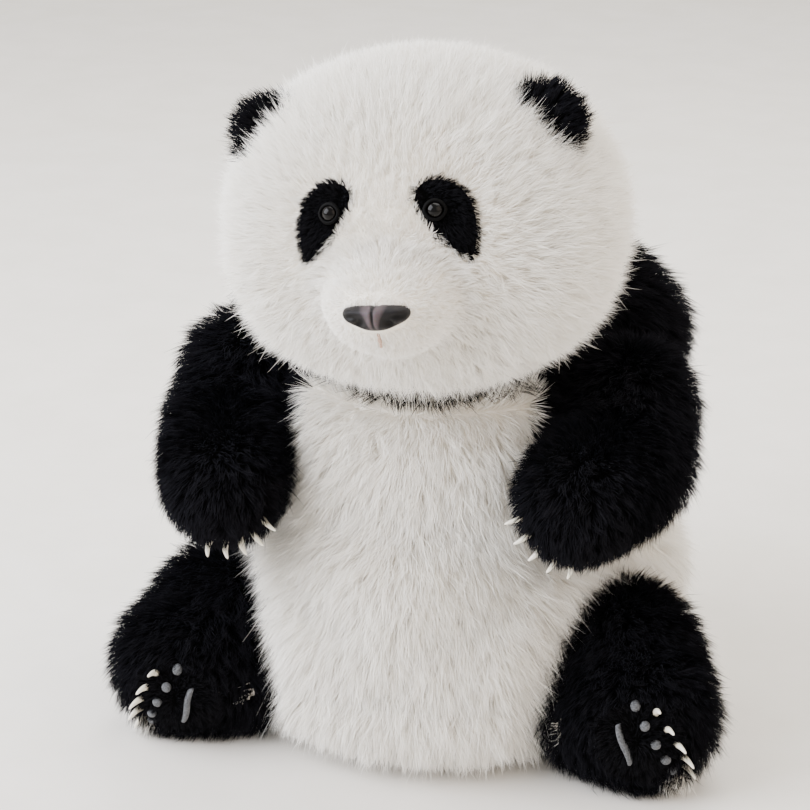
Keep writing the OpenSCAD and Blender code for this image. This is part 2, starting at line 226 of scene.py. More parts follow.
@dataclass(frozen=True)
class Grained(Finish):
    """A surface of two close colours in a fine grain, for knit, suede, thread, leather, paper or plastic."""

    light: str
    dark: str
    grain_mm: float
    roughness: float
    relief: float = 0.0  # depth of the grain, in millimetres
    sheen: float = 0.0
    specular: float = 0.4

    def shade(self, tree: bpy.types.NodeTree, shader: bpy.types.Node) -> None:
        """Mixes the two colours by the grain, and raises the grain if it has relief."""
        place = add_node(tree, "ShaderNodeTexCoord")
        grain = add_node(
            tree,
            "ShaderNodeTexNoise",
            {"Scale": per_metre(self.grain_mm), "Detail": 3.0, "Roughness": 0.6},
            {"Vector": place.outputs["Object"]},
        )
        ramp = add_node(tree, "ShaderNodeValToRGB", links={"Fac": grain.outputs["Fac"]})
        low, high = ramp.color_ramp.elements
        low.position, high.position = 0.35, 0.65
        low.color, high.color = linear(self.dark), linear(self.light)
        tree.links.new(ramp.outputs["Color"], shader.inputs["Base Color"])
        shader.inputs["Roughness"].default_value = self.roughness
        shader.inputs["Specular IOR Level"].default_value = self.specular
        shader.inputs["Sheen Weight"].default_value = self.sheen
        raise_grain(tree, shader, grain, self.relief, 0.6)


@dataclass(frozen=True)
class Graded(Finish):
    """A surface whose colour follows how deep or how far along a point is, as on a claw, a nose or an eye."""

    start: str
    middle: str
    end: str
    turn: float  # where along the middle colour stands
    roughness: float
    coat: float = 0.0
    specular: float = 0.5
    grain_mm: float = 0.8
    relief: float = 0.0

    def shade(self, tree: bpy.types.NodeTree, shader: bpy.types.Node) -> None:
        """Runs the three colours along the piece and adds a fine grain."""
        along = add_node(tree, "ShaderNodeAttribute", {"attribute_name": "along"})
        ramp = add_node(tree, "ShaderNodeValToRGB", links={"Fac": along.outputs["Fac"]})
        stops = ramp.color_ramp.elements
        stops[0].color, stops[1].color = linear(self.start), linear(self.end)
        stops.new(self.turn).color = linear(self.middle)
        place = add_node(tree, "ShaderNodeTexCoord")
        grain = add_node(
            tree,
            "ShaderNodeTexNoise",
            {"Scale": per_metre(self.grain_mm), "Detail": 2.0},
            {"Vector": place.outputs["Object"]},
        )
        worn = add_node(
            tree,
            "ShaderNodeMix",
            {"data_type": "RGBA", "blend_type": "SOFT_LIGHT", 0: 0.35},
            {6: ramp.outputs["Color"], 7: grain.outputs["Color"]},
        )
        tree.links.new(worn.outputs[2], shader.inputs["Base Color"])
        shader.inputs["Roughness"].default_value = self.roughness
        shader.inputs["Specular IOR Level"].default_value = self.specular
        shader.inputs["Coat Weight"].default_value = self.coat
        shader.inputs["Coat Roughness"].default_value = 0.03
        raise_grain(tree, shader, grain, self.relief, 0.5)


# every pile below runs from a root colour painted darker as shade to a tip colour painted lighter as light
# long white acrylic pile: painted cream shade in its depth, near white where the light reaches the tips
WHITE_PILE = Pile(
    "white_acrylic_pile", "#EFE8DC", "#F8F5EE", "#FEFDFB", "#F0E7D6", 0.5, 35, 0.3, "#FFFFFF", 0.9
)
# sheared white pile of the muzzle: short, dense and a little brighter
MUZZLE_PILE = Pile(
    "sheared_white_pile", "#F0EADF", "#F9F6F0", "#FEFDFB", "#F1E9DA", 0.4, 20, 0.3, "#FFFFFF", 0.9
)
# long black acrylic pile: soot black with a faint cool lustre along the fibres, painted lighter towards the
# tips as painted light
BLACK_PILE = Pile(
    "black_acrylic_pile", "#030303", "#0B0B0D", "#1C1C20", "#26262B", 0.6, 28, 0.05, "#8C93A6", 0.7
)
# sheared black pile of the eye patches and soles: flat, deep black
PATCH_PILE = Pile(
    "sheared_black_pile", "#020202", "#0A0A0B", "#1A1A1D", "#222226", 0.5, 12, 0.05, "#8C93A6", 0.8
)
# knitted backings that carry the pile: matt, only glimpsed between fibres; their own white or black, darkened
# towards the pile's root colour as painted shade
WHITE_KNIT = Grained("white_knit_backing", "#F4EFE6", "#E8E0D2", 1.2, 0.9, 0.25, 0.2)
BLACK_KNIT = Grained("black_knit_backing", "#060606", "#030303", 1.2, 0.95, 0.25, specular=0.0)
# polyester fibre fill: loose, white and dull
FIBRE_FILL = Grained("polyester_fibre_fill", "#F6F6F4", "#E4E4E2", 6.0, 0.95, 1.0, 0.3)
# woven cotton bag for the beads: plain, unbleached
BEAD_CLOTH = Grained("unbleached_cotton", "#E6DCC6", "#D3C7AE", 0.6, 0.9, 0.15)
# polypropylene discs and washers: moulded, satin, milky
JOINT_PLASTIC = Grained("moulded_polypropylene", "#ECECE8", "#DCDCD8", 3.0, 0.45, 0.05)
# suede pads: soft grey nap with lighter rubbed fibres
SUEDE = Grained("grey_suede", "#66686C", "#3E4043", 0.9, 0.9, 0.35, 0.1, specular=0.1)
# cotton stitch of the mouth: dusty pink, twisted
STITCH_COTTON = Grained("dusty_pink_cotton", "#C9AE9E", "#A98976", 0.7, 0.85, 0.2, 0.2)
# lids of the eyes: thin black kid leather, slightly waxed
LID_LEATHER = Grained("waxed_kid_leather", "#060607", "#020202", 0.5, 0.6, 0.12, specular=0.06)
# soft vinyl nose: dark with painted shade in the nostrils, dusky grey on the ridge, a low satin gloss
NOSE_VINYL = Graded("satin_vinyl", "#080708", "#1C1A1C", "#6A5E62", 0.45, 0.5, 0.0, 0.15, 0.7, 0.12)
# acrylic eyes: near-black pupil to brown rim under a clear polished face
EYE_ACRYLIC = Graded("polished_acrylic", "#020202", "#050404", "#0E0806", 0.6, 0.1, 0.0, 0.16, 2.0)
# cast resin claws: dark horn at the root to ivory at the tip, waxed
CLAW_RESIN = Graded("ivory_cast_resin", "#8F8674", "#E6E0CC", "#F7F3E6", 0.28, 0.32, 0.4, 0.5, 1.5, 0.08)
# studio floor: smooth matt paper, warm pale
STUDIO_PAPER = Grained("pale_studio_paper", "#EFEBE5", "#EAE6DF", 60.0, 0.9)


# ---- meshes ---------------------------------------------------------------------


def unit(vectors: Array) -> Array:
    """The vectors at length 1, along their last axis."""
    return vectors / np.maximum(np.linalg.norm(vectors, axis=-1, keepdims=True), 1e-9)


def smooth_step(value: Array, low: float, high: float) -> Array:
    """0 below low, 1 above high, and an even slope between."""
    share = np.clip((value - low) / (high - low), 0, 1)
    return share * share * (3 - 2 * share)


def new_object(name: str, mesh: bpy.types.Mesh) -> bpy.types.Object:
    """An object of this mesh, linked to the scene."""
    made = bpy.data.objects.new(name, mesh)
    bpy.context.scene.collection.objects.link(made)
    return made


def mesh_points(mesh: bpy.types.Mesh) -> Array:
    """The mesh's vertices as an array."""
    flat = np.empty(len(mesh.vertices) * 3, np.float32)
    mesh.vertices.foreach_get("co", flat)
    return flat.reshape(-1, 3).astype(float)


def mesh_normals(mesh: bpy.types.Mesh) -> Array:
    """The mesh's vertex normals as an array."""
    flat = np.empty(len(mesh.vertices) * 3, np.float32)
    mesh.vertex_normals.foreach_get("vector", flat)
    return flat.reshape(-1, 3).astype(float)


def move_points(mesh: bpy.types.Mesh, points: Array) -> None:
    """Puts the mesh's vertices at these points."""
    mesh.vertices.foreach_set("co", points.astype(np.float32).ravel())
    mesh.update()


def evaluated(obj: bpy.types.Object) -> bpy.types.Mesh:
    """A new mesh of the object with its modifiers applied."""
    graph = bpy.context.evaluated_depsgraph_get()
    return bpy.data.meshes.new_from_object(obj.evaluated_get(graph))


def apply_all(obj: bpy.types.Object) -> None:
    """Applies every modifier of the object."""
    baked = evaluated(obj)
    obj.modifiers.clear()
    obj.data = baked


def set_attribute(mesh: bpy.types.Mesh, name: str, values: Array) -> None:
    """Gives each vertex a number that a finish can read."""
    held = mesh.attributes.new(name, "FLOAT", "POINT")
    held.data.foreach_set("value", values.astype(np.float32).ravel())


def mesh_from_faces(name: str, points: Array, faces: list | Array, smooth: bool = True) -> bpy.types.Mesh:
    """A mesh of these points and faces."""
    made = bpy.data.meshes.new(name)
    made.from_pydata([tuple(p) for p in points], [], [tuple(f) for f in faces])
    made.polygons.foreach_set("use_smooth", [smooth] * len(made.polygons))
    made.update()
    return made


def islands(count: int, edges: Array) -> Array:
    """Numbers the connected parts of a mesh.

    Args:
        count: how many vertices it has.
        edges: its edges, two vertex numbers each.

    Returns:
        For each vertex, the lowest vertex number of its part.
    """
    label = np.arange(count)
    while True:
        before = label.copy()
        low = np.minimum(label[edges[:, 0]], label[edges[:, 1]])
        np.minimum.at(label, edges[:, 0], low)
        np.minimum.at(label, edges[:, 1], low)
        label = label[label]
        if (label == before).all():
            return label


def mesh_edges(mesh: bpy.types.Mesh) -> Array:
    """The mesh's edges as an array."""
    flat = np.empty(len(mesh.edges) * 2, np.int32)
    mesh.edges.foreach_get("vertices", flat)
    return flat.reshape(-1, 2)


def node_parts(node: str) -> list[Array]:
    """The separate solids of a frame node, as arrays of points."""
    mesh = frame["nodes"][node].data
    points = mesh_points(mesh)
    _, same = np.unique(points.round(6), axis=0, return_inverse=True)
    label = islands(int(same.max()) + 1, same.reshape(-1)[mesh_edges(mesh)])[same.reshape(-1)]
    return [points[label == one] for one in np.unique(label)]


@dataclass
class Surface:
    """Triangles that pile can grow on."""

    points: Array
    normals: Array
    tris: Array

    @classmethod
    def of(cls, mesh: bpy.types.Mesh) -> "Surface":
        """The surface of a mesh."""
        mesh.calc_loop_triangles()
        flat = np.empty(len(mesh.loop_triangles) * 3, np.int32)
        mesh.loop_triangles.foreach_get("vertices", flat)
        return cls(mesh_points(mesh), mesh_normals(mesh), flat.reshape(-1, 3))

    def only(self, keep: Array) -> "Surface":
        """The same surface with only some of its triangles."""
        return Surface(self.points, self.normals, self.tris[keep])

    def centres(self) -> Array:
        """The middle of each triangle."""
        return self.points[self.tris].mean(1)

    def tree(self) -> BVHTree:
        """A search tree of the surface."""
        return BVHTree.FromPolygons(self.points.tolist(), self.tris.tolist())


@dataclass
class Neighbour:
    """A closed skin that pile keeps out of, with the box it fills."""

    tree: BVHTree
    low: Array
    high: Array

    @classmethod
    def of(cls, surface: Surface) -> "Neighbour":
        """The neighbour that this surface makes."""
        used = surface.points[np.unique(surface.tris)]
        return cls(surface.tree(), used.min(0), used.max(0))

    def distance(self, points: Array, reach: float) -> Array:
        """How far each point is from the skin, negative inside it, and reach where it is further."""
        near = ((points > self.low - reach) & (points < self.high + reach)).all(1)
        found = np.full(len(points), reach)
        found[near] = distance_to(self.tree, points[near], reach)
        return found


def distance_to(tree: BVHTree, points: Array, reach: float) -> Array:
    """How far each point is from a surface, negative inside it, and reach where it is further."""
    found = np.full(len(points), reach)
    for i, point in enumerate(points):
        at, normal, _, gap = tree.find_nearest(point, reach)
        if at is not None:
            found[i] = gap if (Vector(point) - at).dot(normal) > 0 else -gap
    return found


def node_tree_of(node: str) -> BVHTree:
    """A search tree of a frame node."""
    return Surface.of(frame["nodes"][node].data).tree()


def nearest_node(points: Array, nodes: list[str]) -> Array:
    """For each point, the number of the nearest of these frame nodes."""
    gaps = np.array([np.abs(distance_to(node_tree_of(node), points, 0.5)) for node in nodes])
    return gaps.argmin(0)


# ---- stuffed skins --------------------------------------------------------------


@dataclass
class Bulge:
    """A place where the filling pushes the cloth out, or a tuck pulls it in."""

    centre: Vector
    reach: float
    push: float

    def move(self, points: Array, normals: Array) -> Array:
        """The points with this bulge added."""
        gap = np.linalg.norm(points - np.array(self.centre), axis=1)
        return points + normals * (self.push * np.exp(-((gap / self.reach) ** 2)))[:, None]


CLOTH_FRAMES = 20  # how many frames a form is blown up for


@dataclass
class StuffedForm:
    """A closed cloth form, remeshed from frame nodes and swollen by its filling."""

    name: str
    nodes: list[str]
    voxel: float = 5 * MM
    inset: float = 1 * MM
    cap: float = 3.2 * MM
    cloth_gap: float = 1.2 * MM  # the least that the cloth stands out of its filling; 0 leaves it alone
    pressure: float = 40.0
    soften: int = 6
    bulges: tuple[Bulge, ...] = ()

    def remeshed(self) -> bpy.types.Object:
        """The frame nodes joined into one soft surface, neither swollen nor cleared inside."""
        whole = bmesh.new()
        for node in self.nodes:
            whole.from_mesh(frame["nodes"][node].data)
        mesh = bpy.data.meshes.new(self.name)
        whole.to_mesh(mesh)
        whole.free()
        form = new_object(self.name, mesh)
        remesh = form.modifiers.new("remesh", "REMESH")
        remesh.mode, remesh.voxel_size = "VOXEL", self.voxel
        soften = form.modifiers.new("soften", "SMOOTH")
        soften.factor, soften.iterations = 0.5, self.soften
        apply_all(form)
        return form

    def build(self) -> bpy.types.Object:
        """Makes the form; its seams are cut afterwards.

        Returns:
            An object that holds the closed form.
        """
        form = self.remeshed()
        self._keep_outside(form)
        points, normals = mesh_points(form.data), mesh_normals(form.data)
        for bulge in self.bulges:
            points = bulge.move(points, normals)
        points = points - normals * self.inset
        move_points(form.data, points)
        self._swell(form)
        smooth = form.modifiers.new("smooth", "SUBSURF")
        smooth.levels = smooth.render_levels = 1
        apply_all(form)
        points, normals = mesh_points(form.data), mesh_normals(form.data)
        for node in self.nodes:
            if "stuffing" in node and self.cloth_gap:
                gap = distance_to(node_tree_of(node), points, 4 * self.cap)
                points = points + normals * np.maximum(0, self.cloth_gap - gap)[:, None]
        points[:, 2] = np.maximum(points[:, 2], FLOOR_CLEAR)
        move_points(form.data, points)
        return form

    def _keep_outside(self, form: bpy.types.Object) -> None:
        """Removes what the remesh left inside the form."""
        label = islands(len(form.data.vertices), mesh_edges(form.data))
        points = mesh_points(form.data)
        spans = {one: float(np.ptp(points[label == one], axis=0).sum()) for one in np.unique(label)}
        outer = max(spans, key=spans.get)
        whole = bmesh.new()
        whole.from_mesh(form.data)
        inner = [v for v, one in zip(whole.verts, label) if one != outer]
        bmesh.ops.delete(whole, geom=inner, context="VERTS")
        whole.to_mesh(form.data)
        whole.free()

    def _swell(self, form: bpy.types.Object) -> None:
        """Blows the form up with Blender's Cloth, no point further than the cap."""
        scene = bpy.context.scene
        cloth = form.modifiers.new("filling", "CLOTH")
        cloth.settings.use_pressure = True
        cloth.settings.uniform_pressure_force = self.pressure
        cloth.settings.effector_weights.gravity = 0.0
        cloth.point_cache.frame_start, cloth.point_cache.frame_end = 1, CLOTH_FRAMES
        for step in range(1, CLOTH_FRAMES + 1):
            scene.frame_set(step)
        blown = evaluated(form)
        start = mesh_points(form.data)
        shift = mesh_points(blown) - start
        far = np.linalg.norm(shift, axis=1, keepdims=True)
        LOG.info(
            "%s: cloth moved %.1f mm at most, %.1f mm on average",
            self.name,
            far.max() / MM,
            far.mean() / MM,
        )
        shift *= np.minimum(1, self.cap / np.maximum(far, 1e-9))
        form.modifiers.clear()
        move_points(form.data, start + shift)
        scene.frame_set(1)


def cut_panel(form: Surface, keep: Array, name: str, thickness: float = 1.5 * MM) -> bpy.types.Object:
    """Cuts one panel of cloth out of a form.

    Args:
        form: the whole form.
        keep: which triangles belong to the panel.
        name: the new piece's name.
        thickness: of the cloth.

    Returns:
        The panel, with its thickness inside the form.
    """
    tris = form.tris[keep]
    used, again = np.unique(tris, return_inverse=True)
    mesh = mesh_from_faces(name, form.points[used], again.reshape(-1, 3).tolist())
    piece = new_object(name, mesh)
    cloth = piece.modifiers.new("cloth", "SOLIDIFY")
    cloth.thickness, cloth.offset = thickness, -1
    apply_all(piece)
    return piece


# ---- pile -----------------------------------------------------------------------


@dataclass(frozen=True)
class Coat:
    """How one panel's pile stands."""

    per_mm2: float  # fibres, each drawn as a fine bunch
    length: float
    width: float
    lift: float = 62.0  # degrees off the cloth at the root
    lay: float = 14.0  # and at the tip
    spread: float = 0.18  # how much lengths differ
    twist: float = 12.0  # how much fibres turn from the way they are combed, in degrees
    lock: float = 7 * MM  # distance between locks
    cling: float = 0.55  # how far a lock's tips come together
    wave: float = 1.2 * MM
    stray: float = 0.02  # share of fibres that are longer than the rest
    steps: int = 3


@dataclass
class PileMaker:
    """Grows pile on a surface as fine tapered ribbons."""

    coat: Coat
    groom: Groom
    seed: int
    neighbours: tuple[Neighbour, ...] = ()

    def grow(self, name: str, ground: Surface, finish: Finish) -> list[bpy.types.Object]:
        """Grows the pile.

        Args:
            name: the new piece's name.
            ground: the cloth it stands on.
            finish: what it is dressed in.

        Returns:
            The pile, in as few pieces as keep each one light.
        """
        coat, draw = self.coat, np.random.default_rng(self.seed)
        root, normal = self._roots(ground, draw)
        flow, scale, keep = self.groom(root, normal)
        alive = draw.random(len(root)) < keep
        root, normal, flow, scale = root[alive], normal[alive], flow[alive], scale[alive]
        count = len(root)
        lead = self._leads(root)
        turn = np.radians(coat.twist) * (draw.normal(size=count) + 1.2 * draw.normal(size=count)[lead])
        comb = unit(flow - (flow * normal).sum(1, keepdims=True) * normal)
        across = np.cross(normal, comb)
        comb = comb * np.cos(turn)[:, None] + across * np.sin(turn)[:, None]
        across = np.cross(normal, comb)
        long = coat.length * scale * np.clip(1 + coat.spread * draw.normal(size=count), 0.45, 1.7)
        long *= (0.86 + 0.28 * draw.random(count))[lead]
        long[draw.random(count) < coat.stray] *= 1.45
        lean = np.radians(7) * draw.normal(size=count)
        phase = 6.28 * draw.random(count)[lead] + 0.6 * draw.normal(size=count)
        path = np.empty((count, coat.steps + 1, 3))
        path[:, 0] = root - normal * 0.4 * MM
        for k in range(1, coat.steps + 1):
            part = (k - 0.5) / coat.steps
            rise = np.radians(coat.lift + (coat.lay - coat.lift) * part) + lean
            step = comb * np.cos(rise)[:, None] + normal * np.sin(rise)[:, None]
            path[:, k] = path[:, k - 1] + step * (long / coat.steps)[:, None]
        for k in range(1, coat.steps + 1):
            part = k / coat.steps
            swing = coat.wave * np.sin(5.2 * part + phase) * part * np.minimum(1, long / coat.length)
            path[:, k] += across * swing[:, None]
        hold = path[lead]
        for k in range(1, coat.steps + 1):
            pull = coat.cling * (k / coat.steps) ** 1.5
            path[:, k] += (hold[:, k] - path[:, k]) * pull
        self._trim(path)
        low = path[:, :, 2]
        path[:, :, 2] = np.where(low < FLOOR_CLEAR, FLOOR_CLEAR * (1 + draw.random(count))[:, None], low)
        most = MOST_FACES // (2 * coat.steps - 1)
        parts = -(-count // most)
        order = np.argsort(path[:, 0, 1] if parts > 1 else np.arange(count))
        names = [name if parts == 1 else f"{name}_{i + 1}" for i in range(parts)]
        return [
            self._ribbons(one, path[some], across[some], normal[some], draw, finish)
            for one, some in zip(names, np.array_split(order, parts))
        ]

    def _roots(self, ground: Surface, draw: np.random.Generator) -> tuple[Array, Array]:
        """Even random places on the cloth, and the way out of it there."""
        corner, one, two = (ground.points[ground.tris[:, i]] for i in range(3))
        area = np.linalg.norm(np.cross(one - corner, two - corner), axis=1) / 2
        share = 1.0
        count = int(area.sum() / MM**2 * self.coat.per_mm2 * share)
        which = draw.choice(len(area), count, p=area / area.sum())
        u, v = draw.random((2, count))
        over = u + v > 1
        u[over], v[over] = 1 - u[over], 1 - v[over]
        u, v = u[:, None], v[:, None]
        place = corner[which] * (1 - u - v) + one[which] * u + two[which] * v
        outs = [ground.normals[ground.tris[which, i]] for i in range(3)]
        return place, unit(outs[0] * (1 - u - v) + outs[1] * u + outs[2] * v)

    def _leads(self, root: Array) -> Array:
        """For each fibre, the fibre that leads its lock."""
        share = 1.0
        locks = max(1, int(len(root) / max(1.0, self.coat.per_mm2 * share * (self.coat.lock / MM) ** 2)))
        tree = KDTree(locks)
        for i in range(locks):
            tree.insert(root[i], i)
        tree.balance()
        return np.array([tree.find(point)[1] for point in root])

    def _trim(self, path: Array) -> None:
        """Shortens the fibres whose tips are inside a neighbour."""
        for skin in self.neighbours:
            inside = skin.distance(path[:, -1], 20 * MM) < 0
            inside |= skin.distance(path[:, len(path[0]) // 2], 20 * MM) < 0
            base = path[inside, :1]
            path[inside] = base + (path[inside] - base) * 0.3

    def _ribbons(
        self, name: str, path: Array, across: Array, normal: Array, draw, finish: Finish
    ) -> bpy.types.Object:
        """Draws each fibre as a ribbon that tapers to its tip."""
        count, steps = len(path), self.coat.steps
        roll = np.radians(65) * (2 * draw.random(count) - 1)
        flat = across * np.cos(roll)[:, None] + normal * np.sin(roll)[:, None]
        wide = self.coat.width * (0.75 + 0.5 * draw.random(count))
        points = np.empty((count, 2 * steps + 1, 3))
        along = np.empty((count, 2 * steps + 1))
        for k in range(steps):
            half = flat * (wide * (1 - 0.75 * (k / steps) ** 1.5) / 2)[:, None]
            points[:, 2 * k], points[:, 2 * k + 1] = path[:, k] - half, path[:, k] + half
            along[:, 2 * k] = along[:, 2 * k + 1] = k / steps
        points[:, -1], along[:, -1] = path[:, -1], 1.0
        quads = [[2 * k, 2 * k + 1, 2 * k + 3, 2 * k + 2] for k in range(steps - 1)]
        corners = np.array([c for quad in quads for c in quad] + [2 * steps - 2, 2 * steps - 1, 2 * steps])
        first = np.arange(count)[:, None]
        loops = (first * (2 * steps + 1) + corners).astype(np.int32)
        starts = (first * len(corners) + 4 * np.arange(steps)).astype(np.int32)
        mesh = bpy.data.meshes.new(name)
        mesh.vertices.add(points.shape[0] * points.shape[1])
        mesh.vertices.foreach_set("co", points.astype(np.float32).ravel())
        mesh.loops.add(loops.size)
        mesh.loops.foreach_set("vertex_index", loops.ravel())
        mesh.polygons.add(starts.size)
        mesh.polygons.foreach_set("loop_start", starts.ravel())
        mesh.polygons.foreach_set("use_smooth", np.ones(starts.size, bool))
        mesh.update(calc_edges=True)
        tone = np.repeat(draw.random(count)[:, None], 2 * steps + 1, 1)
        set_attribute(mesh, "along", along)
        set_attribute(mesh, "tone", tone)
        made = new_object(name, mesh)
        mesh.materials.append(finish.material())
        return made


# ---- the toy --------------------------------------------------------------------


@dataclass
class Assembly:
    """A part of the toy that moves as one: it dresses its pieces and hangs them on its body as it makes them.
    """

    body: str

    def declare(
        self, piece: bpy.types.Object, finish: Finish, slot: str, *nodes: str, fill: float | None = None
    ) -> bpy.types.Object:
        """Dresses a piece, hangs it on its body and hides the frame nodes that it stands for.

        Args:
            piece: the new piece.
            finish: its finish.
            slot: the record's material slot; not used.
            nodes: frame nodes that it replaces.
            fill: how tightly it is stuffed, if it is; not used.

        Returns:
            The piece.
        """
        if not piece.data.materials:
            piece.data.materials.append(finish.material())
        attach(piece, self.body)
        if nodes:
            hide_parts(*nodes)
        LOG.info("%s: %d faces on %s", piece.name, len(piece.data.polygons), self.body)
        return piece

    def pile(
        self,
        name: str,
        ground: Surface,
        coat: Coat,
        groom: Groom,
        finish: Pile,
        slot: str,
        seed: int,
        near=(),
    ) -> None:
        maker = PileMaker(coat, groom, seed, tuple(near))
        for piece in maker.grow(name, ground, finish):
            self.declare(piece, finish, slot)


@dataclass
class HeadFrame:
    """The frame that the face is set in: tilted on the skull."""

    centre: Vector = Vector((0, -28, 294)) * MM
    pitch: float = 10.0
    roll: float = 6.0

    def rotation(self) -> Array:
        """Turns a direction of the face to the toy's own."""
        turned = Matrix.Rotation(math.radians(-self.roll), 3, "Y") @ Matrix.Rotation(
            math.radians(-self.pitch), 3, "X"
        )
        return np.array(turned)

    def inward(self, points: Array) -> Array:
        """Points of the toy, in the face's frame."""
        return (points - np.array(self.centre)) @ self.rotation()

    def outward(self, points: Array) -> Array:
        """Points of the face's frame, in the toy's."""
        return points @ self.rotation().T + np.array(self.centre)

    def turned(self, directions: Array) -> Array:
        """Directions of the face's frame, in the toy's."""
        return directions @ self.rotation().T


@dataclass
class Eye:
    """A polished eye set in a leather lid, placed by the frame's lid ring."""

    side: Side
    dome_r: float = 4.3 * MM
    dome_rise: float = 4.4 * MM
    lid_inner: float = 4.0 * MM
    lid_outer: float = 5.6 * MM
    lid_rise: float = 3.0 * MM

    def axes(self, head: HeadFrame) -> tuple[Array, Array, Array, Array]:
        """The lid ring's middle, and the ways right, up and out of it."""
        ring = mesh_points(frame["nodes"]["eyelid_" + self.side.tag].data)
        middle = (ring.min(0) + ring.max(0)) / 2
        _, _, ways = np.linalg.svd(ring - ring.mean(0), full_matrices=False)
        out = ways[2] * np.sign(np.dot(ways[2], middle - np.array(head.centre)))
        up = head.turned(np.array([0, 0, 1.0]))
        up = unit(up - np.dot(up, out) * out)
        return middle, np.cross(up, out), up, out

    def dome(self, head: HeadFrame) -> bpy.types.Object:
        """The eye: a low dome on a short stem that goes into the head."""
        middle, right, up, out = self.axes(head)
        rings, spokes = 14, 40
        points, along, faces = [middle + out * (self.dome_rise - 2 * MM)], [0.0], []
        for i in range(1, rings + 1):
            share = i / rings
            r, z = self.dome_r * math.sin(share * math.pi / 2), self.dome_rise * math.cos(share * math.pi / 2)
            for j in range(spokes):
                a = 2 * math.pi * j / spokes
                points.append(middle + right * r * math.cos(a) + up * r * math.sin(a) + out * (z - 2 * MM))
                along.append(share)
        stem = len(points)
        for depth, r in ((2.2, 4.3), (2.2, 1.8), (9.0, 1.8)):
            for j in range(spokes):
                a = 2 * math.pi * j / spokes
                points.append(middle + (right * math.cos(a) + up * math.sin(a)) * r * MM - out * depth * MM)
                along.append(1.0)
        faces += [(0, 1 + j, 1 + (j + 1) % spokes) for j in range(spokes)]
        for i in range(rings + 2):
            low, high = 1 + i * spokes, 1 + (i + 1) * spokes
            faces += [
                (low + j, high + j, high + (j + 1) % spokes, low + (j + 1) % spokes) for j in range(spokes)
            ]
        faces.append(tuple(range(stem + 2 * spokes, stem + 3 * spokes))[::-1])
        mesh = mesh_from_faces("eye_dome_" + self.side.tag, np.array(points), faces)
        set_attribute(mesh, "along", np.array(along))
        return new_object(mesh.name, mesh)

    def lid(self, head: HeadFrame) -> bpy.types.Object:
        """The lid: a rolled leather band, heavier above the eye and drawn out at its corners."""
        middle, right, up, out = self.axes(head)
        spokes, rolls = 56, 14
        points, faces = [], []
        for j in range(spokes):
            a = 2 * math.pi * j / spokes
            spoke = right * math.cos(a) + up * math.sin(a)
            corner = 0.9 * MM * math.cos(a) ** 8
            heavy = 0.35 * MM * max(0.0, math.sin(a))
            for i in range(rolls):
                b = 2 * math.pi * i / rolls
                mid = (self.lid_inner + self.lid_outer) / 2 + corner / 2
                half = (self.lid_outer - self.lid_inner) / 2 + heavy / 2
                r = mid + half * math.cos(b) - heavy / 2
                lean = self.lid_rise * 0.55 * (self.lid_outer - r) / self.lid_outer
                z = (0.75 + heavy / MM * 0.5) * MM * math.sin(b) + lean
                points.append(middle + spoke * r + out * (z - 0.4 * MM))
        for j in range(spokes):
            for i in range(rolls):
                here, on = j * rolls, ((j + 1) % spokes) * rolls
                faces.append((here + i, on + i, on + (i + 1) % rolls, here + (i + 1) % rolls))
        mesh = mesh_from_faces("eye_lid_" + self.side.tag, np.array(points), faces)
        return new_object(mesh.name, mesh)


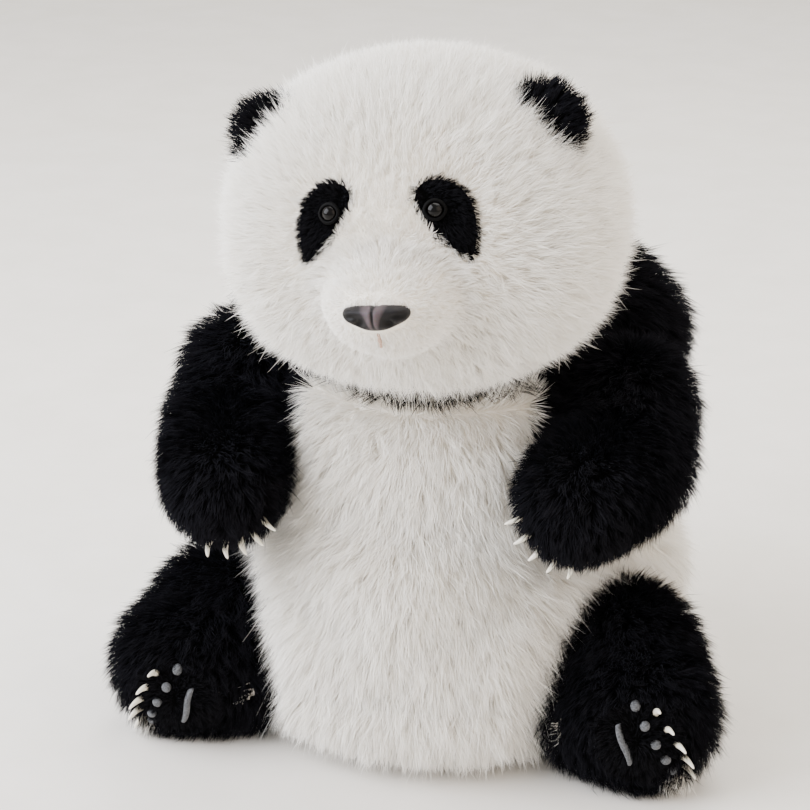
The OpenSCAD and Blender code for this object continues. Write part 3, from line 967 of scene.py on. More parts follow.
@dataclass
class Nose:
    """A soft vinyl nose: flat on top, with side lobes, comma nostrils and a grooved ridge."""

    centre: Vector = Vector((0, -114, -32)) * MM
    half_width: float = 16.8 * MM
    top: float = 5.0 * MM
    bottom: float = 8.2 * MM
    rise: float = 9.0 * MM
    rings: int = 26
    spokes: int = 96

    def build(self, head: HeadFrame) -> bpy.types.Object:
        """Makes the nose as a closed moulded cap on a stem."""
        points, along, faces = [(0.0, -self._height(0, 0), 0.0)], [self._shade(0, 0)], []
        for i in range(1, self.rings + 1):
            for j in range(self.spokes):
                x, z = self._outline(i / self.rings, 2 * math.pi * j / self.spokes)
                points.append((x, -self._height(x, z, i / self.rings), z))
                along.append(self._shade(x, z))
        back = ((0.97, 3.0), (0.80, 8.0))
        for share, depth in back:
            for j in range(self.spokes):
                x, z = self._outline(share, 2 * math.pi * j / self.spokes)
                points.append((x, depth * MM, z))
                along.append(0.2)
        faces += [(0, 1 + j, 1 + (j + 1) % self.spokes) for j in range(self.spokes)]
        for i in range(self.rings - 1 + len(back)):
            low, high = 1 + i * self.spokes, 1 + (i + 1) * self.spokes
            faces += [
                (low + j, high + j, high + (j + 1) % self.spokes, low + (j + 1) % self.spokes)
                for j in range(self.spokes)
            ]
        last = 1 + (self.rings - 1 + len(back)) * self.spokes
        faces.append(tuple(range(last, last + self.spokes))[::-1])
        placed = head.outward(np.array(points) + np.array(self.centre))
        mesh = mesh_from_faces("nose_cap", placed, faces)
        set_attribute(mesh, "along", np.array(along))
        return new_object(mesh.name, mesh)

    def _outline(self, share: float, angle: float) -> tuple[float, float]:
        """A point of the front, from the share of the way to its edge and the angle."""
        c, s = math.cos(angle), math.sin(angle)
        x = math.copysign(abs(c) ** 0.75, c) * self.half_width
        if s < 0:
            x *= 1 + 0.12 * s
            z = -self.bottom * (0.76 * (-s) ** 0.8 + 0.24 * (-s) ** 7)
        else:
            z = self.top * s**0.7
        return x * share, z * share

    def _height(self, x: float, z: float, share: float = 0.0) -> float:
        """How far the front stands out: a dome with lobes, nostrils and a groove."""
        mx, mz = abs(x) / MM, z / MM
        dome = self.rise * math.sqrt(max(0.0, 1 - share**2.6))
        lobe = 1.4 * math.exp(-(((mx - 13) / 4) ** 2) - ((mz - 1) / 5) ** 2)
        ridge = 1.3 * math.exp(-((mx / (4.5 + 0.35 * mz)) ** 2))
        nostril = -3.6 * math.exp(-(((mx - 7.5) / 2.6) ** 2) - ((mz + 2.8 + 0.15 * mx) / 2.2) ** 2)
        comma = -2.6 * math.exp(-(((mx - 12.5) / 4.2) ** 2) - ((mz + 0.6) / 1.5) ** 2)
        groove = -1.0 * math.exp(-((mx / 0.8) ** 2)) * (0.4 if mz > 2 else 1.0)
        fade = max(0.0, 1 - share**6)
        return dome + (lobe + ridge + nostril + comma + groove) * MM * fade

    def _shade(self, x: float, z: float) -> float:
        """How light the vinyl is painted: dusky on the ridge, darkened as painted shade in the nostrils, the
        recesses beside the lobes and the groove.
        """
        mx, mz = abs(x) / MM, z / MM
        ridge = math.exp(-((mx / (5 + 0.45 * mz)) ** 4)) * (0.8 - 0.02 * mz)
        # painted shade in the nostrils and the recesses beside the lobes, where _height sinks the vinyl
        painted_hollow_shade = math.exp(-(((mx - 7.5) / 2.8) ** 2) - ((mz + 2.8 + 0.15 * mx) / 2.4) ** 2)
        painted_hollow_shade += math.exp(-(((mx - 12.5) / 4.2) ** 2) - ((mz + 0.6) / 1.7) ** 2)
        # painted shade along the groove down the middle
        groove = 0.45 * math.exp(-((mx / 0.7) ** 2))
        return min(1.0, max(0.0, 0.36 + 0.5 * ridge - 0.55 * painted_hollow_shade - groove))


@dataclass
class Horn:
    """A curved resin claw between two points."""

    root_r: float = 2.2 * MM
    tip_r: float = 0.45 * MM
    hook: float = 2.2 * MM
    rings: int = 12
    spokes: int = 16

    def add(self, points: list, along: list, faces: list, base: Array, tip: Array, bend: Array) -> None:
        """Adds one claw to growing lists of points, shades and faces."""
        ahead = unit(tip - base)
        bend = unit(bend - np.dot(bend, ahead) * ahead)
        side = np.cross(ahead, bend)
        start = len(points)
        for i in range(self.rings + 1):
            share = i / self.rings
            middle = base + (tip - base) * share - bend * self.hook * math.sin(math.pi * share) * 0.5
            r = self.tip_r + (self.root_r - self.tip_r) * (1 - share) ** 0.7
            r *= 1.0 if i < self.rings else 0.3
            for j in range(self.spokes):
                a = 2 * math.pi * j / self.spokes
                points.append(middle + (side * math.cos(a) * 0.85 + bend * math.sin(a)) * r)
                along.append(share)
        for i in range(self.rings):
            low, high = start + i * self.spokes, start + (i + 1) * self.spokes
            faces += [
                (low + j, low + (j + 1) % self.spokes, high + (j + 1) % self.spokes, high + j)
                for j in range(self.spokes)
            ]
        faces.append(tuple(range(start, start + self.spokes))[::-1])
        end = start + self.rings * self.spokes
        faces.append(tuple(range(end, end + self.spokes)))


def claws(name: str, node: str, centre: Array, bend: Array) -> bpy.types.Object:
    """Curved claws in the places of the frame's plain ones.

    Args:
        name: the new piece's name.
        node: the frame node that holds them.
        centre: the middle of the paw, which they point away from.
        bend: the way that their tips hook.

    Returns:
        The claws as one piece.
    """
    points, along, faces = [], [], []
    for solid in node_parts(node):
        reach = np.linalg.norm(solid - centre, axis=1)
        base = solid[reach < reach.min() + 0.6 * MM].mean(0)
        tip = solid[reach.argmax()]
        Horn().add(points, along, faces, base, tip, bend)
    mesh = mesh_from_faces(name, np.array(points), faces)
    set_attribute(mesh, "along", np.array(along))
    return new_object(name, mesh)


def pads(
    name: str, node: str, ground: BVHTree, out: Array, radius: float, rise: float, joined: bool
) -> bpy.types.Object:
    """Low suede cushions on the sole, in the places of the frame's plain ones.

    Args:
        name: the new piece's name.
        node: the frame node that holds them.
        ground: the cloth under them.
        out: the way the sole faces.
        radius: of each pad, or half the width of a long one.
        rise: how far they stand out of the cloth.
        joined: whether the node is one long pad.

    Returns:
        The pads as one piece.
    """
    solids = node_parts(node)
    rows = [solid.mean(0) for solid in solids]
    points, faces = [], []
    if joined:
        flat = np.concatenate(solids)
        spread = flat - flat.mean(0)
        _, _, ways = np.linalg.svd(spread, full_matrices=False)
        span = spread @ ways[0]
        bins = np.linspace(span.min() + radius, span.max() - radius, 7)
        rows = [flat[np.abs(span - b) < 2.5 * MM].mean(0) for b in bins]
        lines = [np.array(rows)]
    else:
        lines = [np.array([row]) for row in rows]
    for line in lines:
        long = len(line) > 1
        ahead = unit(line[-1] - line[0]) if long else unit(np.cross(out, [1.0, 0.3, 0.2]))
        side = unit(np.cross(out, ahead))
        rings, spokes, start = 7, 32, len(points)
        middle = line.mean(0)
        reach = np.linalg.norm(line[-1] - line[0]) / 2 if long else 0.0
        for i in range(rings + 1):
            share = i / rings
            for j in range(spokes if i else 1):
                a = 2 * math.pi * j / spokes
                x, y = math.cos(a) * share, math.sin(a) * share
                off = ahead * (x * radius + np.clip(x * 1.6, -1, 1) * reach * 0.62) + side * y * radius
                if long:
                    off = off + side * 0.8 * MM * math.sin(4 * x)
                spot = Vector(middle + off + out * 12 * MM)
                hit, normal, _, _ = ground.ray_cast(spot, Vector(-out), 40 * MM)
                if hit is None:
                    hit, normal = Vector(middle + off), Vector(out)
                lift = rise * math.sqrt(max(0.0, 1 - share**3)) - 0.5 * MM * share
                points.append(np.array(hit + normal * lift))
        faces += [(start, start + 1 + j, start + 1 + (j + 1) % spokes) for j in range(spokes)]
        for i in range(rings - 1):
            low, high = start + 1 + i * spokes, start + 1 + (i + 1) * spokes
            faces += [
                (low + j, high + j, high + (j + 1) % spokes, low + (j + 1) % spokes) for j in range(spokes)
            ]
        faces.append(tuple(range(start + 1 + (rings - 1) * spokes, start + 1 + rings * spokes))[::-1])
    return new_object(name, mesh_from_faces(name, np.array(points), faces))


@dataclass
class Head(Assembly):
    """The head: skin and muzzle, ears, eyes in their patches, nose and mouth stitch."""

    body: str = "head"
    face: HeadFrame = field(default_factory=HeadFrame)
    coat: Coat = Coat(
        2.0, 16 * MM, 0.34 * MM, lift=60, lay=26, twist=16, lock=3 * MM, wave=0.8 * MM, cling=0.2, steps=2
    )
    muzzle_coat: Coat = Coat(
        3.6, 5 * MM, 0.30 * MM, lift=58, lay=24, lock=2.5 * MM, cling=0.3, wave=0.3 * MM, steps=2
    )
    ear_coat: Coat = Coat(
        1.6, 9 * MM, 0.42 * MM, lift=66, lay=34, lock=3 * MM, cling=0.35, wave=0.5 * MM, steps=2
    )
    patch_coat: Coat = Coat(
        3.6, 4.2 * MM, 0.36 * MM, lift=62, lay=34, lock=2 * MM, cling=0.3, wave=0.3 * MM, steps=2
    )
    muzzle_front: Vector = Vector((0, -112, -20)) * MM
    patch_semi: tuple[float, float] = (12.2 * MM, 22 * MM)
    patch_lean: float = 31.0
    patch_at: tuple[float, float] = (32 * MM, 9.5 * MM)

    def build(self) -> Neighbour:
        """Makes every piece of the head.

        Returns:
            The head's skin, for what stands next to it.
        """
        cheeks = [
            Bulge(Vector(self.face.outward(np.array([s * 62, -45, -34]) * MM)), 36 * MM, 7 * MM)
            for s in (1, -1)
        ]
        whole = StuffedForm(
            "head_form",
            ["head_cover", "head_stuffing", "muzzle", "nose"],
            bulges=tuple(cheeks),
            soften=10,
            cloth_gap=0.0,
        )
        form = whole.build()
        skin = Surface.of(form.data)
        local = self.face.inward(skin.centres())
        on_muzzle = self._muzzle_depth(local) < 1.0
        self.skin_tree = skin.tree()
        bpy.data.objects.remove(form)
        self.declare(
            cut_panel(skin, ~on_muzzle, "head_skin"), WHITE_KNIT, "white_plush", "head_cover", fill=0.7
        )
        self.declare(cut_panel(skin, on_muzzle, "muzzle_skin"), WHITE_KNIT, "white_plush", "muzzle", fill=0.7)
        self._patches()
        self._ears()
        self._eyes()
        self.pile(
            "head_pile",
            skin.only(~on_muzzle),
            self.coat,
            self._groom_head,
            WHITE_PILE,
            "white_plush",
            11,
        )
        self.pile(
            "muzzle_pile",
            skin.only(on_muzzle),
            self.muzzle_coat,
            self._groom_muzzle,
            MUZZLE_PILE,
            "white_plush",
            12,
        )
        nose = Nose().build(self.face)
        self.declare(nose, NOSE_VINYL, "nose_rubber", "nose")
        self._mouth()
        return Neighbour.of(skin)

    def _muzzle_depth(self, local: Array) -> Array:
        """Below 1 on the muzzle, in the face's frame."""
        shifted = (local - np.array([0, -88, -31]) * MM) / (np.array([40, 34, 31]) * MM)
        depth = np.linalg.norm(shifted, axis=1)
        return np.where(local[:, 1] < -0.07, depth, 9.0)

    def _patch_share(self, local: Array, side: Side) -> Array:
        """Below 1 inside an eye patch, in the face's frame."""
        lean = math.radians(self.patch_lean)
        x = local[:, 0] * side.value - self.patch_at[0]
        z = local[:, 2] - self.patch_at[1]
        across = x * math.cos(lean) + z * math.sin(lean)
        high = (-x * math.sin(lean) + z * math.cos(lean)) / self.patch_semi[1]
        wide, shift = self._patch_line(np.clip(high, -1, 1))
        share = np.sqrt(((across - shift) / wide) ** 2 + high**2)
        return np.where(local[:, 1] < 0, share, 9.0)

    def _patch_line(self, high: Array) -> tuple[Array, Array]:
        """Half width of an eye patch, and how far it bows outward, from the low tip at -1 to the top at 1."""
        return self.patch_semi[0] * (0.92 + 0.30 * high - 0.12 * high**2), 3.2 * MM * (0.4 - high**2)

    def _groom_head(self, root: Array, normal: Array) -> tuple[Array, Array, Array]:
        """Combs the head out from the nose; short on the face, long and full at its edge."""
        local = self.face.inward(root)
        out = local - np.array(self.muzzle_front)
        out[:, 1] *= 0.6
        away = np.linalg.norm(out, axis=1)
        flow = self.face.turned(unit(out) + np.array([0, 0.25, -0.12]))
        front = smooth_step(-local[:, 1], 10 * MM, 80 * MM)
        centre = np.linalg.norm(local[:, [0, 2]] - np.array([0, -5 * MM]), axis=1)
        scale = 1 - 0.62 * front * (1 - smooth_step(centre, 28 * MM, 88 * MM))
        keep = np.ones(len(root))
        for side in Side:
            share = self._patch_share(local, side)
            keep[share < 0.97] = 0
            scale = np.where(share < 1.35, np.minimum(scale, 0.3 + 0.9 * (share - 0.97)), scale)
            flow = np.where((share < 1.5)[:, None], flow + self._from_patch(local, side) * 0.8, flow)
            keep[self.ears[side].distance(root, 6 * MM) < 3.0 * MM] = 0
        scale *= 0.75 + 0.25 * smooth_step(away, 30 * MM, 70 * MM)
        crown = smooth_step(local[:, 2], 55 * MM, 85 * MM)
        chin = smooth_step(-local[:, 2], 45 * MM, 75 * MM)
        scale *= 1 - 0.35 * crown - 0.25 * chin
        keep[(root[:, 2] < 0.224) & (normal[:, 2] < -0.8)] = 0
        return flow, scale, keep

    def _from_patch(self, local: Array, side: Side) -> Array:
        """The way out of an eye patch, so that white fibres don't cross it."""
        middle = np.array([side.value * self.patch_at[0], 0, self.patch_at[1]])
        away = local - middle
        away[:, 1] = 0
        return self.face.turned(unit(away))

    def _groom_muzzle(self, root: Array, normal: Array) -> tuple[Array, Array, Array]:
        """Combs the muzzle back from the nose, with the nose's own place bare."""
        local = self.face.inward(root)
        out = local - np.array([0, -128, -28]) * MM
        nose = np.sqrt((local[:, 0] / (17 * MM)) ** 2 + ((local[:, 2] + 33 * MM) / (9 * MM)) ** 2)
        above = (local[:, 2] > -29 * MM) & (local[:, 1] > -122 * MM)
        keep = np.where((nose < 0.9) & ~above, 0.0, 1.0)
        depth = self._muzzle_depth(local)
        scale = 0.8 + 0.9 * smooth_step(depth, 0.75, 1.05)
        scale = np.where(nose < 1.6, np.minimum(scale, 0.55 + 0.3 * (nose - 0.9)), scale)
        over = (1 - smooth_step(nose, 0.9, 1.5)) * above
        flow = unit(out) * (1 - over)[:, None] + np.array([0, -1.0, -0.3]) * over[:, None]
        return self.face.turned(flow + np.array([0, 0.2, 0])), scale, keep

    def _patches(self) -> None:
        """The eye patches: low ovals of sheared black pile that droop outward."""
        for side in Side:
            lean = math.radians(self.patch_lean) * side.value
            rings, spokes = 9, 48
            points, faces = [], []
            for i in range(rings + 1):
                share = i / rings
                for j in range(spokes if i else 1):
                    a = 2 * math.pi * j / spokes
                    high = math.sin(a) * share
                    wide, shift = self._patch_line(high)
                    across = (math.cos(a) * wide * share + shift) * side.value
                    up = high * self.patch_semi[1]
                    x = side.value * self.patch_at[0] + across * math.cos(lean) - up * math.sin(lean)
                    z = self.patch_at[1] + across * math.sin(lean) + up * math.cos(lean)
                    start = Vector(self.face.outward(np.array([x, -0.16, z])))
                    way = Vector(self.face.turned(np.array([0, 1.0, 0])))
                    hit, normal, _, _ = self.skin_tree.ray_cast(start, way)
                    rise = 1.6 * MM * math.sqrt(max(0.0, 1 - share**4)) - 0.3 * MM
                    points.append(np.array(hit + normal * rise))
            faces += [(0, 1 + (j + 1) % spokes, 1 + j) for j in range(spokes)]
            for i in range(rings - 1):
                low, high = 1 + i * spokes, 1 + (i + 1) * spokes
                faces += [
                    (low + j, low + (j + 1) % spokes, high + (j + 1) % spokes, high + j)
                    for j in range(spokes)
                ]
            if side is Side.LEFT:
                faces = [f[::-1] for f in faces]
            piece = new_object(
                "patch_skin_" + side.tag, mesh_from_faces("patch_skin_" + side.tag, np.array(points), faces)
            )
            ground = Surface.of(piece.data)
            self.declare(piece, BLACK_KNIT, "black_plush", "eye_patch_" + side.tag)
            middle = Eye(side).axes(self.face)[0]

            def groom(
                root: Array, normal: Array, side: Side = side, middle: Array = middle
            ) -> tuple[Array, Array, Array]:
                """Combs the patch out and down from the eye, which it leaves clear."""
                out = root - middle
                gap = np.linalg.norm(out, axis=1)
                down = self.face.turned(np.array([side.value * 0.5, 0, -0.9]))
                keep = np.where(gap < 5.8 * MM, 0.0, 1.0)
                scale = 0.45 + 0.55 * smooth_step(gap, 7 * MM, 13 * MM)
                return unit(out) + down, scale, keep

            self.pile(
                "patch_pile_" + side.tag,
                ground,
                self.patch_coat,
                groom,
                PATCH_PILE,
                "black_plush",
                20 + side.value,
            )

    def _ears(self) -> None:
        """The ears: rounded stuffed flaps, dished in front, with their own full pile."""
        self.ears = {}
        for side in Side:
            node = "ear_" + side.tag
            solid = mesh_points(frame["nodes"][node].data)
            middle = (solid.min(0) + solid.max(0)) / 2
            dish = Bulge(Vector(middle + self.face.turned(np.array([0, -12, 4]) * MM)), 13 * MM, -4 * MM)
            form = StuffedForm(
                "ear_skin_" + side.tag,
                [node],
                voxel=3 * MM,
                inset=1.5 * MM,
                cap=1.6 * MM,
                soften=3,
                bulges=(dish,),
            )
            piece = form.build()
            ground = Surface.of(piece.data)
            self.ears[side] = Neighbour.of(ground)
            self.declare(piece, BLACK_KNIT, "black_plush", node, fill=0.6)
            foot = self.face.outward(np.array([side.value * 48, -24, 33]) * MM)

            def groom(root: Array, normal: Array, foot: Array = foot) -> tuple[Array, Array, Array]:
                """Combs the ear out from its root."""
                keep = np.where(distance_to(self.skin_tree, root, 20 * MM) < -2 * MM, 0.0, 1.0)
                return unit(root - foot), np.ones(len(root)), keep

            self.pile(
                "ear_pile_" + side.tag,
                ground,
                self.ear_coat,
                groom,
                BLACK_PILE,
                "black_plush",
                30 + side.value,
            )

    def _eyes(self) -> None:
        """The eyes and their lids."""
        for side in Side:
            eye = Eye(side)
            self.declare(eye.dome(self.face), EYE_ACRYLIC, "eye_gloss", "eye_" + side.tag)
            self.declare(eye.lid(self.face), LID_LEATHER, "black_plush", "eyelid_" + side.tag)

    def _mouth(self) -> None:
        """The stitch under the nose: a short twisted thread."""
        solid = mesh_points(frame["nodes"]["mouth_stitch"].data)
        _, _, ways = np.linalg.svd(solid - solid.mean(0), full_matrices=False)
        span = (solid - solid.mean(0)) @ ways[0]
        low, high = solid.mean(0) + ways[0] * span.min(), solid.mean(0) + ways[0] * span.max()
        ahead = unit(high - low)
        out = self.face.turned(np.array([0, -1.0, 0]))
        side = unit(np.cross(ahead, out))
        out = np.cross(side, ahead)
        rings, spokes = 28, 10
        points, faces = [], []
        for i in range(rings + 1):
            share = i / rings
            for j in range(spokes):
                a = 2 * math.pi * j / spokes
                r = 1.1 * MM * (0.82 + 0.18 * math.cos(2 * a + 14 * share)) * math.sin(
                    math.pi * (0.06 + 0.88 * share)
                ) ** 0.4
                points.append(low + (high - low) * share + (side * math.cos(a) + out * math.sin(a)) * r)
        for i in range(rings):
            a, b = i * spokes, (i + 1) * spokes
            faces += [(a + j, a + (j + 1) % spokes, b + (j + 1) % spokes, b + j) for j in range(spokes)]
        faces += [tuple(range(spokes))[::-1], tuple(range(rings * spokes, (rings + 1) * spokes))]
        piece = new_object("mouth_thread", mesh_from_faces("mouth_thread", np.array(points), faces))
        self.declare(piece, STITCH_COTTON, "stitch_thread", "mouth_stitch")


FACE_COSINE = 0.8  # from this on, a normal counts as square to the torso, or to the sole
FACE_BAND = 9 * MM  # how far from the joint's middle the flat face still counts


@dataclass
class Limb(Assembly):
    """What an arm and a leg share: a stuffed skin and the pile that runs down it."""

    side: Side = Side.LEFT
    kind: str = "arm"
    coat: Coat = Coat(
        1.15, 13 * MM, 0.44 * MM, lift=64, lay=30, twist=18, lock=4 * MM, cling=0.35, wave=0.8 * MM, steps=2
    )

    def skin(self) -> Surface:
        """Returns:
            The skin's surface.
        """
        cover, filling = f"{self.kind}_cover_{self.side.tag}", f"{self.kind}_stuffing_{self.side.tag}"
        piece = StuffedForm(
            f"{self.kind}_skin_{self.side.tag}", [cover, filling, self.disc()], soften=14
        ).build()
        ground = Surface.of(piece.data)
        self.declare(piece, BLACK_KNIT, "black_plush", cover, fill=0.65)
        return ground

    def disc(self) -> str:
        """The frame node of the limb's joint disc."""
        return ("shoulder" if self.kind == "arm" else "hip") + "_disc_" + self.side.tag

    def joint(self) -> dict:
        """The frame's joint that the limb turns on."""
        return next(joint for joint in frame["joints"] if joint["child"] == self.body)

    def ball_centre(self, claw_node: str) -> Array:
        """The middle of the paw's or foot's ball, where the lines of its claws meet."""
        left, right = np.zeros((3, 3)), np.zeros(3)
        for solid in node_parts(claw_node):
            middle = solid.mean(0)
            _, _, ways = np.linalg.svd(solid - middle, full_matrices=False)
            flat = np.eye(3) - np.outer(ways[0], ways[0])
            left, right = left + flat, right + flat @ middle
        return np.linalg.solve(left, right)

    def on_joint_face(self, root: Array, normal: Array) -> Array:
        """Whether each root is on the flat face against the torso."""
        joint = self.joint()
        axis = np.array(joint["axis"]) * -self.side.value
        depth = np.abs((root - np.array(joint["pos_m"])) @ axis)
        return (normal @ axis < -FACE_COSINE) & (depth < FACE_BAND)


@dataclass
class Arm(Limb):
    """An arm: thick, bent round the belly, with five claws along its paw."""

    def build(self, neighbours: list[Neighbour]) -> Neighbour:
        """Makes the arm's pieces.

        Args:
            neighbours: the skins that its pile mustn't enter.

        Returns:
            Its own skin, for what stands next to it.
        """
        ground, claw_node = self.skin(), "paw_claws_" + self.side.tag
        self.paw = self.ball_centre(claw_node)
        box = np.array([list(c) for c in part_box("arm_cover_" + self.side.tag)])
        self.high = np.array(
            [box[:, 0].mean() + self.side.value * 8 * MM, box[1, 1] - 34 * MM, box[1, 2] - 20 * MM]
        )
        self.pile(
            "arm_pile_" + self.side.tag,
            ground,
            self.coat,
            self._groom,
            BLACK_PILE,
            "black_plush",
            40 + self.side.value,
            neighbours,
        )
        inward = np.array([-self.side.value * 0.9, 0.0, -0.5])
        piece = claws("paw_horns_" + self.side.tag, claw_node, self.paw, inward)
        self.declare(piece, CLAW_RESIN, "claw_resin", claw_node)
        return Neighbour.of(ground)

    def _groom(self, root: Array, normal: Array) -> tuple[Array, Array, Array]:
        """Combs the arm down from the shoulder and round to the paw."""
        paw, high = self.paw, self.high
        way = unit(paw - high)
        share = np.clip(((root - high) @ way) / np.linalg.norm(paw - high), 0, 1.3)
        down = np.array([0.0, -0.1, -1.0])
        flow = down * (1 - share)[:, None] + way * share[:, None]
        past = smooth_step(share, 0.85, 1.15)[:, None]
        flow = flow * (1 - past) + unit(root - paw) * past + down * past * 0.4
        keep = np.where(self.on_joint_face(root, normal), 0.0, 1.0)
        scale = 1 - 0.35 * smooth_step(share, 0.7, 1.1)
        return flow, scale, keep


@dataclass
class Leg(Limb):
    """A leg: short and stout, its sole turned forward with claws, pads and two white tufts."""

    kind: str = "leg"
    sole_coat: Coat = Coat(
        2.2, 5.5 * MM, 0.4 * MM, lift=62, lay=30, lock=2.5 * MM, cling=0.3, wave=0.3 * MM, steps=2
    )
    tuft_coat: Coat = Coat(
        2.4, 11 * MM, 0.42 * MM, lift=70, lay=30, lock=4 * MM, cling=0.5, wave=0.8 * MM, steps=2
    )

    def build(self, neighbours: list[Neighbour]) -> Neighbour:
        """Makes the leg's pieces.

        Args:
            neighbours: the skins that its pile mustn't enter.

        Returns:
            Its own skin, for what stands next to it.
        """
        ground, tag = self.skin(), self.side.tag
        pad_points = np.concatenate(node_parts("toe_pads_" + tag) + node_parts("sole_pad_" + tag))
        self.sole = pad_points.mean(0)
        self.foot = self.ball_centre("foot_claws_" + tag)
        self.out = unit(self.sole - self.foot)
        tree = ground.tree()
        piece = claws("foot_horns_" + tag, "foot_claws_" + tag, self.foot, np.array([0, 0.2, -1.0]))
        self.declare(piece, CLAW_RESIN, "claw_resin", "foot_claws_" + tag)
        piece = pads("toe_suede_" + tag, "toe_pads_" + tag, tree, self.out, 2.8 * MM, 3.0 * MM, False)
        self.declare(piece, SUEDE, "pad_suede", "toe_pads_" + tag, fill=0.5)
        piece = pads("sole_suede_" + tag, "sole_pad_" + tag, tree, self.out, 1.9 * MM, 3.0 * MM, True)
        self.declare(piece, SUEDE, "pad_suede", "sole_pad_" + tag, fill=0.5)
        self.pad_tree = KDTree(len(pad_points))
        for i, point in enumerate(pad_points):
            self.pad_tree.insert(point, i)
        self.pad_tree.balance()
        facing = unit(ground.centres() - self.foot) @ self.out
        on_sole = facing >= FACE_COSINE
        self.pile(
            "leg_pile_" + tag,
            ground.only(~on_sole),
            self.coat,
            self._groom,
            BLACK_PILE,
            "black_plush",
            50 + self.side.value,
            neighbours,
        )
        self.pile(
            "sole_pile_" + tag,
            ground.only(on_sole),
            self.sole_coat,
            self._groom_sole,
            PATCH_PILE,
            "black_plush",
            60 + self.side.value,
            neighbours,
        )
        self._tufts()
        return Neighbour.of(ground)

    def _groom(self, root: Array, normal: Array) -> tuple[Array, Array, Array]:
        """Combs the leg forward and down from the hip, and away round the foot."""
        hip = np.array(self.joint()["pos_m"]) + np.array([0, 30, 20]) * MM
        flow = unit(root - hip) + np.array([0, -0.2, -0.7])
        facing = unit(root - self.foot) @ self.out
        scale = 1 - 0.5 * smooth_step(facing, 0.35, 0.8)
        keep = np.where(self.on_joint_face(root, normal) | (root[:, 2] < 1.5 * MM), 0.0, 1.0)
        return flow, scale, keep

    def _groom_sole(self, root: Array, normal: Array) -> tuple[Array, Array, Array]:
        """Combs the sole's short pile outward and clears its pads."""
        gap = np.array([self.pad_tree.find(point)[2] for point in root])
        keep = np.where(gap < 1.6 * MM, 0.0, 1.0)
        return unit(root - self.sole) + np.array([0, 0, -0.5]), np.where(gap < 5 * MM, 0.65, 1.0), keep

    def _tufts(self) -> None:
        """The two white tufts: small knots of long white pile."""
        node = "foot_tufts_" + self.side.tag
        piece = StuffedForm("tuft_skin_" + self.side.tag, [node], voxel=2 * MM, soften=2).remeshed()
        ground = Surface.of(piece.data)
        self.declare(piece, WHITE_KNIT, "white_plush", node)

        def groom(root: Array, normal: Array) -> tuple[Array, Array, Array]:
            """Combs the tuft out of the foot."""
            return unit(root - self.foot) + np.array([0, 0, -0.4]), np.ones(len(root)), np.ones(len(root))

        self.pile(
            "tuft_pile_" + self.side.tag,
            ground,
            self.tuft_coat,
            groom,
            WHITE_PILE,
            "white_plush",
            70 + self.side.value,
        )


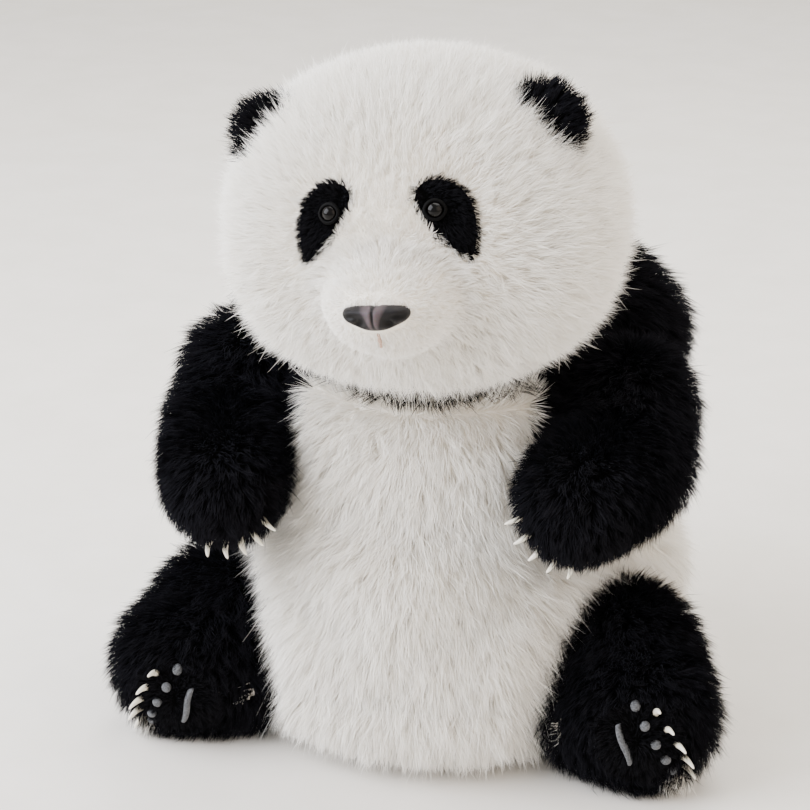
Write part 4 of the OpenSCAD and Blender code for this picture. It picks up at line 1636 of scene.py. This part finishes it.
@dataclass
class Torso(Assembly):
    """The torso: white body with its bib, black yoke over the shoulders, and the tail."""

    body: str = "torso"
    belly_coat: Coat = Coat(
        1.6, 17 * MM, 0.36 * MM, lift=58, lay=28, twist=13, lock=4 * MM, cling=0.1, wave=0.8 * MM, steps=2
    )
    yoke_coat: Coat = Coat(
        1.1, 14 * MM, 0.45 * MM, lift=62, lay=26, twist=16, lock=4 * MM, cling=0.35, steps=2
    )
    tail_coat: Coat = Coat(1.6, 13 * MM, 0.45 * MM, lift=66, lay=26, lock=5 * MM, wave=1.0 * MM, steps=2)

    def build(self, others: list[Neighbour]) -> None:
        """Makes the torso's pieces.

        Args:
            others: the skins of the head and limbs, which its pile keeps out of.
        """
        plugs = ["neck_washer", "neck_disc"] + [
            f"{j}_washer_{s.tag}" for j in ("shoulder", "hip") for s in Side
        ]
        belly = Bulge(Vector((0, -92, 112)) * MM, 44 * MM, 9 * MM)
        flanks = [Bulge(Vector((s.value * 118, 62, 108)) * MM, 42 * MM, 9 * MM) for s in Side]
        nodes = ["body_cover", "yoke_cover", "body_stuffing", "bead_bag", *plugs]
        bulges = (belly, *flanks)
        whole = StuffedForm(
            "torso_form", nodes, voxel=6 * MM, bulges=bulges, soften=12, pressure=5.0, cloth_gap=2.2 * MM
        )
        form = whole.build()
        skin = Surface.of(form.data)
        bpy.data.objects.remove(form)
        black = nearest_node(skin.centres(), ["body_cover", "yoke_cover"]) == 1
        self.declare(cut_panel(skin, ~black, "body_skin"), WHITE_KNIT, "white_plush", "body_cover", fill=0.7)
        self.declare(cut_panel(skin, black, "yoke_skin"), BLACK_KNIT, "black_plush", "yoke_cover", fill=0.7)
        self.others = others
        self.pile(
            "body_pile",
            skin.only(~black),
            self.belly_coat,
            self._groom_body,
            WHITE_PILE,
            "white_plush",
            80,
            others,
        )
        self.pile(
            "yoke_pile",
            skin.only(black),
            self.yoke_coat,
            self._groom_yoke,
            BLACK_PILE,
            "black_plush",
            81,
            others,
        )
        self._tail()

    def _clear(self, root: Array) -> Array:
        """1 where a root has room, 0 where a neighbour lies against it."""
        keep = np.ones(len(root))
        for skin in self.others:
            gap = skin.distance(root, 14 * MM)
            keep[gap < 3 * MM] = 0
        return keep

    def _groom_body(self, root: Array, normal: Array) -> tuple[Array, Array, Array]:
        """Combs the bib and belly down and a little outward."""
        flow = np.stack([root[:, 0] * 4, root[:, 1] * 1.5, np.full(len(root), -1.0)], 1)
        edge = smooth_step(root[:, 2], 193 * MM, 206 * MM) * (root[:, 1] < 0)
        flow[:, 2] += 1.9 * edge
        low = 1 - smooth_step(root[:, 2], 0, 30 * MM)
        flow += normal * (low * 0.8)[:, None]
        scale = 0.75 + 0.25 * smooth_step(-root[:, 2], -200 * MM, -150 * MM)
        keep = self._clear(root)
        keep[root[:, 2] < 1.5 * MM] = 0
        return flow, scale, keep

    def _groom_yoke(self, root: Array, normal: Array) -> tuple[Array, Array, Array]:
        """Combs the shoulders out and down."""
        flow = np.stack([root[:, 0] * 5, root[:, 1] * 4, np.full(len(root), -0.8)], 1)
        return flow, np.ones(len(root)), self._clear(root)

    def _tail(self) -> None:
        """The tail: a small stuffed ball of white pile."""
        form = StuffedForm("tail_skin", ["tail"], voxel=3 * MM, inset=1.5 * MM, cap=1.6 * MM, soften=3)
        piece = form.build()
        ground = Surface.of(piece.data)
        self.declare(piece, WHITE_KNIT, "white_plush", "tail", fill=0.6)

        def groom(root: Array, normal: Array) -> tuple[Array, Array, Array]:
            """Combs the tail down."""
            return normal * 0.2 + np.array([0, 0.4, -1.0]), np.ones(len(root)), np.ones(len(root))

        self.pile("tail_pile", ground, self.tail_coat, groom, WHITE_PILE, "white_plush", 82)


def dress_inner_pieces() -> None:
    """Gives every frame node that still stands for itself its real finish."""
    finishes = {
        "stuffing": FIBRE_FILL,
        "bag": BEAD_CLOTH,
        "disc": JOINT_PLASTIC,
        "ring": JOINT_PLASTIC,
        "washer": JOINT_PLASTIC,
    }
    for name, piece in frame["nodes"].items():
        for word, finish in finishes.items():
            if word in name and not piece.hide_render:
                piece.data.materials.clear()
                piece.data.materials.append(finish.material())


# ---- studio ---------------------------------------------------------------------


@dataclass
class Studio:
    """The camera, floor and lights."""

    azimuth: float = 13.0
    elevation: float = 22.0
    distance: float = 1.35
    target: Vector = Vector((-18.5, 0, 176)) * MM
    lens_mm: float = 109.1
    floor_half: float = 6.0

    def build(self) -> None:
        """Sets up the camera, the floor and the lights."""
        self._camera()
        self._floor()
        self._light("window", -62, 34, 1.7, 1.6, 84, "#F6F8FF")
        self._light("bounce", 70, 30, 2.0, 1.8, 20, "#FFE8D0")
        self._light("top", 160, 62, 1.6, 1.4, 30, "#FFFDF8")
        world = bpy.data.worlds.new("studio")
        world.use_nodes = True
        sky = world.node_tree.nodes["Background"]
        sky.inputs["Color"].default_value = linear("#F2EEE8")
        sky.inputs["Strength"].default_value = 1.2
        bpy.context.scene.world = world

    def _camera(self) -> None:
        """Puts the camera where the toy is seen from."""
        a, e = math.radians(self.azimuth), math.radians(self.elevation)
        back = Vector((math.sin(a) * math.cos(e), -math.cos(a) * math.cos(e), math.sin(e)))
        data = bpy.data.cameras.new("camera")
        data.lens, data.sensor_width = self.lens_mm, 36
        camera = bpy.data.objects.new("camera", data)
        bpy.context.scene.collection.objects.link(camera)
        camera.location = self.target + back * self.distance
        camera.rotation_euler = back.to_track_quat("Z", "Y").to_euler()
        bpy.context.scene.camera = camera

    def _floor(self) -> None:
        """Lays the floor."""
        h = self.floor_half
        mesh = mesh_from_faces(
            "floor", np.array([(-h, -h, 0), (h, -h, 0), (h, h, 0), (-h, h, 0)]), [(0, 1, 2, 3)], False
        )
        floor = new_object("floor", mesh)
        mesh.materials.append(STUDIO_PAPER.material())

    def _light(
        self,
        name: str,
        azimuth: float,
        elevation: float,
        distance: float,
        size: float,
        power: float,
        colour: str,
    ) -> None:
        """Hangs a square soft light that faces the toy."""
        a, e = math.radians(azimuth), math.radians(elevation)
        back = Vector((math.sin(a) * math.cos(e), -math.cos(a) * math.cos(e), math.sin(e)))
        data = bpy.data.lights.new(name, "AREA")
        data.size, data.energy, data.color = size, power, linear(colour)[:3]
        light = bpy.data.objects.new(name, data)
        bpy.context.scene.collection.objects.link(light)
        light.location = Vector((0, 0, 0.17)) + back * distance
        light.rotation_euler = back.to_track_quat("Z", "Y").to_euler()


def main() -> None:
    """Builds the toy, from the camera and the head to the torso."""
    logging.basicConfig(level=logging.INFO, format="%(message)s", stream=sys.stdout)
    Studio().build()
    head_tree = Head().build()
    leg_trees = [Leg("leg_" + side.tag, side, "leg").build([]) for side in Side]
    arm_trees = [Arm("arm_" + side.tag, side, "arm").build([head_tree, *leg_trees]) for side in Side]
    Torso().build([head_tree, *leg_trees, *arm_trees])
    dress_inner_pieces()


if __name__ == "__main__":
    main()
